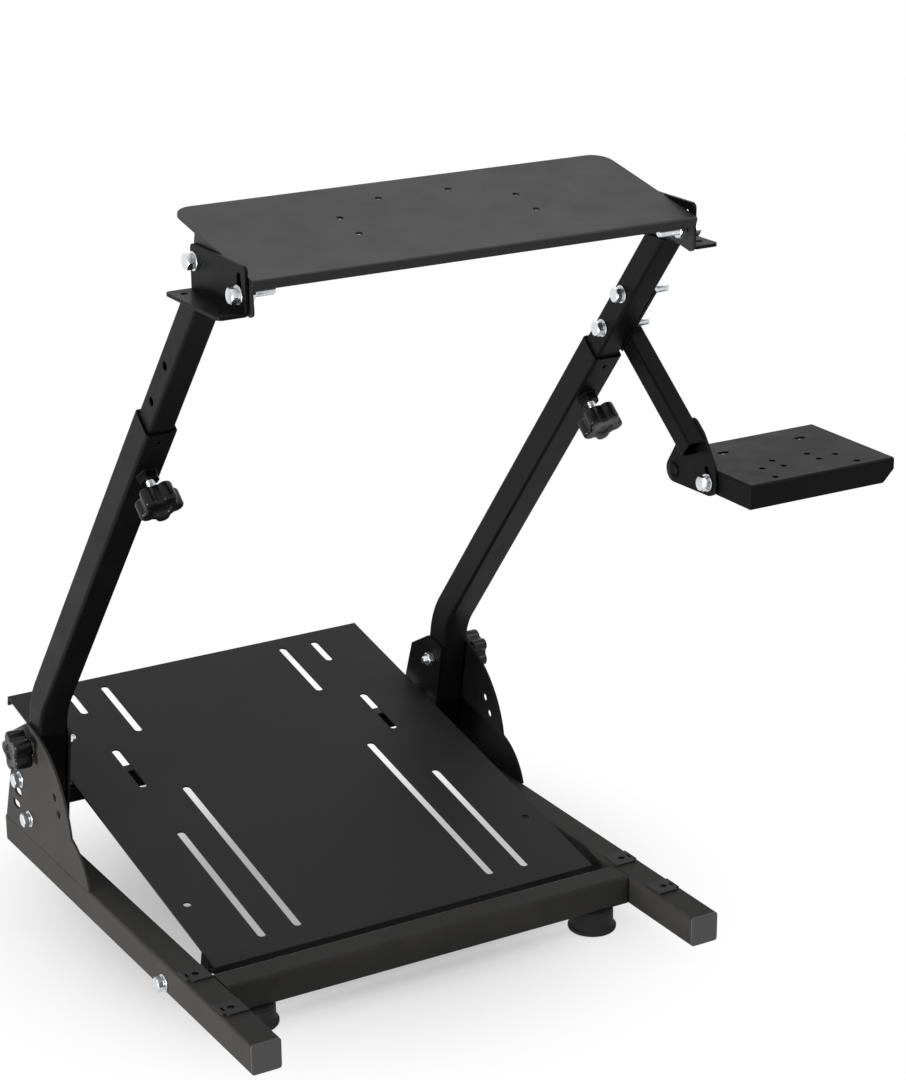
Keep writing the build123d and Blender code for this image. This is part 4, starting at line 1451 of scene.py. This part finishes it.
@dataclass(frozen=True)
class CoatedSteel:
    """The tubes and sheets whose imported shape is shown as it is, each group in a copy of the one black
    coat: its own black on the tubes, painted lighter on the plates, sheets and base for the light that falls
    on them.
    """

    finishes: Finishes
    # The groups follow how light falls on the parts, so mirrored parts can take differently painted copies
    plates: tuple[str, ...] = ("wheel_plate",)
    sheets: tuple[str, ...] = ("pedal_tray", "rail_tabs", "left_inner_gusset")
    base: tuple[str, ...] = ("left_rail", "right_rail", "front_cross_tube", "left_outer_gusset")
    tubes: tuple[str, ...] = (
        "right_outer_gusset", "right_inner_gusset", "rear_cross_tube",
        "left_upright", "right_upright", "left_inner_tube", "right_inner_tube",
        "left_top_bracket", "right_top_bracket",
        "shifter_mount_plate", "shifter_arm", "shifter_end_plate", "shifter_plate",
    )

    def build(self) -> None:
        """Put each node's finish into its material slots."""
        for names, material in (
            (self.plates, self.finishes.plate_coat_painted_lit),
            (self.sheets, self.finishes.sheet_coat_painted_lit),
            (self.base, self.finishes.base_coat_painted_lit),
            (self.tubes, self.finishes.tube_coat),
        ):
            for name in names:
                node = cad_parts[name]
                if not node.material_slots:
                    node.data.materials.append(material)
                for place in node.material_slots:
                    place.material = material
                log.info("%s shows its packed shape in %s", name, material.name)


# Camera, lamps and surroundings


def stand_at(made: bpy.types.Object, axes: list[Array], place: Place) -> None:
    """Link an object that stands at a place, with its own axes along these directions.

    Args:
        made: The object.
        axes: The unit directions of its x, y and z.
        place: Where it stands, in metres.
    """
    turn = np.eye(4)
    turn[:3, :3] = np.stack(axes, axis=1)
    turn[:3, 3] = place
    made.matrix_world = Matrix(turn.tolist())
    bpy.context.scene.collection.objects.link(made)


def seen_directly(tree: bpy.types.NodeTree) -> bpy.types.NodeSocket:
    """Add the nodes that tell the camera and reflections from other light.

    Args:
        tree: The node tree.

    Returns:
        The socket that is 1 to the camera and in reflections, and 0 to other light.
    """
    path = add_node(tree, "ShaderNodeLightPath").outputs
    rays = {0: path["Is Camera Ray"], 1: path["Is Glossy Ray"]}
    return add_node(tree, "ShaderNodeMath", {"operation": "MAXIMUM"}, rays).outputs[0]


@dataclass(frozen=True)
class SoftBox:
    """A rectangular lamp, with its place and size in metres and its power in watts."""

    name: str
    place: Place
    size: tuple[float, float]
    power: float

    def hang(self, aim: Place) -> None:
        """Hang the lamp so that it looks at a place.

        Args:
            aim: The place, in metres.
        """
        data = bpy.data.lights.new(self.name, "AREA")
        data.shape = "RECTANGLE"
        data.size, data.size_y = self.size
        data.energy = self.power
        away = unit(np.array(self.place) - np.array(aim))
        level = unit(np.cross(UPWARD, away))
        stand_at(bpy.data.objects.new(self.name, data), [level, np.cross(away, level), away], self.place)


@dataclass(frozen=True)
class Studio:
    """A white floor, soft boxes and the camera at the photograph's angle, in metres and degrees.

    The floor's paper takes the stand's shadow. Seen directly, it turns to plain white with
    the distance from the shadow's middle, from near_white at white_from to 1 at white_to.
    """

    eye: Place = (-1.2808, -2.3013, 1.2814)
    yaw: float = -30.34
    pitch: float = 19.18
    roll: float = -0.46
    lens: float = 94.06
    sensor: float = 36.0
    aim: Place = (0.0, 0.0, 0.4)
    ambient: float = 0.3
    floor_reach: float = 14.0
    floor_drop: float = 0.0004
    shadow_middle: Place = (-0.08, 0.0, 0.0)
    white_from: float = 0.12
    white_to: float = 0.43
    near_white: float = 0.35
    boxes: tuple[SoftBox, ...] = (
        SoftBox("key_box", (-2.35, -0.45, 0.13), (1.2, 0.22), 62.0),
        SoftBox("top_box", (0.0, -0.15, 1.35), (0.9, 0.9), 4.0),
        SoftBox("fill_box", (1.2, -1.1, 1.6), (0.9, 0.9), 9.0),
        SoftBox("back_box", (1.4, 2.5, 0.9), (1.6, 1.2), 3.0),
    )

    def camera(self) -> None:
        """Make the camera: forward by yaw and pitch, then rolled about the line of sight."""
        yaw, pitch, roll = (math.radians(angle) for angle in (self.yaw, self.pitch, self.roll))
        flat = math.cos(pitch)
        ahead = np.array([-math.sin(yaw) * flat, math.cos(yaw) * flat, -math.sin(pitch)])
        level = unit(np.cross(ahead, UPWARD))
        upward = np.cross(level, ahead)
        right = math.cos(roll) * level + math.sin(roll) * upward
        top = -math.sin(roll) * level + math.cos(roll) * upward
        data = bpy.data.cameras.new("photo_angle")
        data.lens = self.lens
        data.sensor_width = self.sensor
        made = bpy.data.objects.new("photo_angle", data)
        stand_at(made, [right, top, -ahead], self.eye)
        bpy.context.scene.camera = made

    def world(self) -> None:
        """Make the surroundings: white to the camera and in reflections, softer as light."""
        world = bpy.data.worlds.new("white_studio")
        world.use_nodes = True
        tree = world.node_tree
        tree.nodes.clear()
        strength = add_node(
            tree,
            "ShaderNodeMapRange",
            {"To Min": self.ambient, "To Max": 1.0},
            {"Value": seen_directly(tree)},
        )
        shine = add_node(
            tree,
            "ShaderNodeBackground",
            {"Color": linear("#ffffff")},
            {"Strength": strength.outputs["Result"]},
        )
        add_node(tree, "ShaderNodeOutputWorld", {}, {"Surface": shine.outputs[0]})
        bpy.context.scene.world = world

    def paper(self) -> bpy.types.Material:
        """Make the floor's material.

        Returns:
            Matt paper that is plain white away from the stand, to the camera and in reflections.
        """
        material, tree = new_material("white_studio_paper")
        place = add_node(tree, "ShaderNodeTexCoord").outputs["Object"]
        far = add_node(
            tree,
            "ShaderNodeVectorMath",
            {"operation": "DISTANCE", 1: self.shadow_middle},
            {0: place},
        )
        white_share = add_node(
            tree,
            "ShaderNodeMapRange",
            {
                "interpolation_type": "SMOOTHSTEP",
                "From Min": self.white_from,
                "From Max": self.white_to,
                "To Min": self.near_white,
                "To Max": 1.0,
            },
            {"Value": far.outputs["Value"]},
        )
        share = add_node(
            tree,
            "ShaderNodeMath",
            {"operation": "MULTIPLY"},
            {0: seen_directly(tree), 1: white_share.outputs["Result"]},
        )
        matt = add_node(tree, "ShaderNodeBsdfDiffuse", {"Color": linear("#fafafa")})
        white = add_node(tree, "ShaderNodeEmission", {"Color": linear("#ffffff"), "Strength": 1.0})
        mixed = add_node(
            tree,
            "ShaderNodeMixShader",
            {},
            {0: share.outputs[0], 1: matt.outputs[0], 2: white.outputs[0]},
        )
        add_node(tree, "ShaderNodeOutputMaterial", {}, {"Surface": mixed.outputs[0]})
        return material

    def floor(self) -> None:
        """Lay a white floor that keeps the stand's soft shadow."""
        mesh = bpy.data.meshes.new("floor")
        corners = np.array([[-1, -1], [1, -1], [1, 1], [-1, 1]]) * self.floor_reach
        level = np.full((4, 1), -self.floor_drop)
        mesh.from_pydata(np.concatenate([corners, level], axis=1).tolist(), [], [(0, 1, 2, 3)])
        made = bpy.data.objects.new("floor", mesh)
        bpy.context.scene.collection.objects.link(made)
        mesh.materials.append(self.paper())

    def build(self) -> None:
        """Make the camera, the lamps, the surroundings and the floor."""
        self.camera()
        for box in self.boxes:
            box.hang(self.aim)
        self.world()
        self.floor()
        bpy.context.scene.view_settings.view_transform = "Standard"


def main() -> None:
    """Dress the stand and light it."""
    logging.basicConfig(level=logging.INFO, format="%(name)s: %(message)s")
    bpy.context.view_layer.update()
    setting = Setting()
    finishes = Finishes()
    CoatedSteel(finishes).build()
    Fasteners(setting, finishes).build()
    StarKnobs(setting, finishes).build()
    BaseTrim(setting, finishes).build()
    WeldBeads(setting, finishes).build()
    Studio().build()


if __name__ == "__main__":
    main()
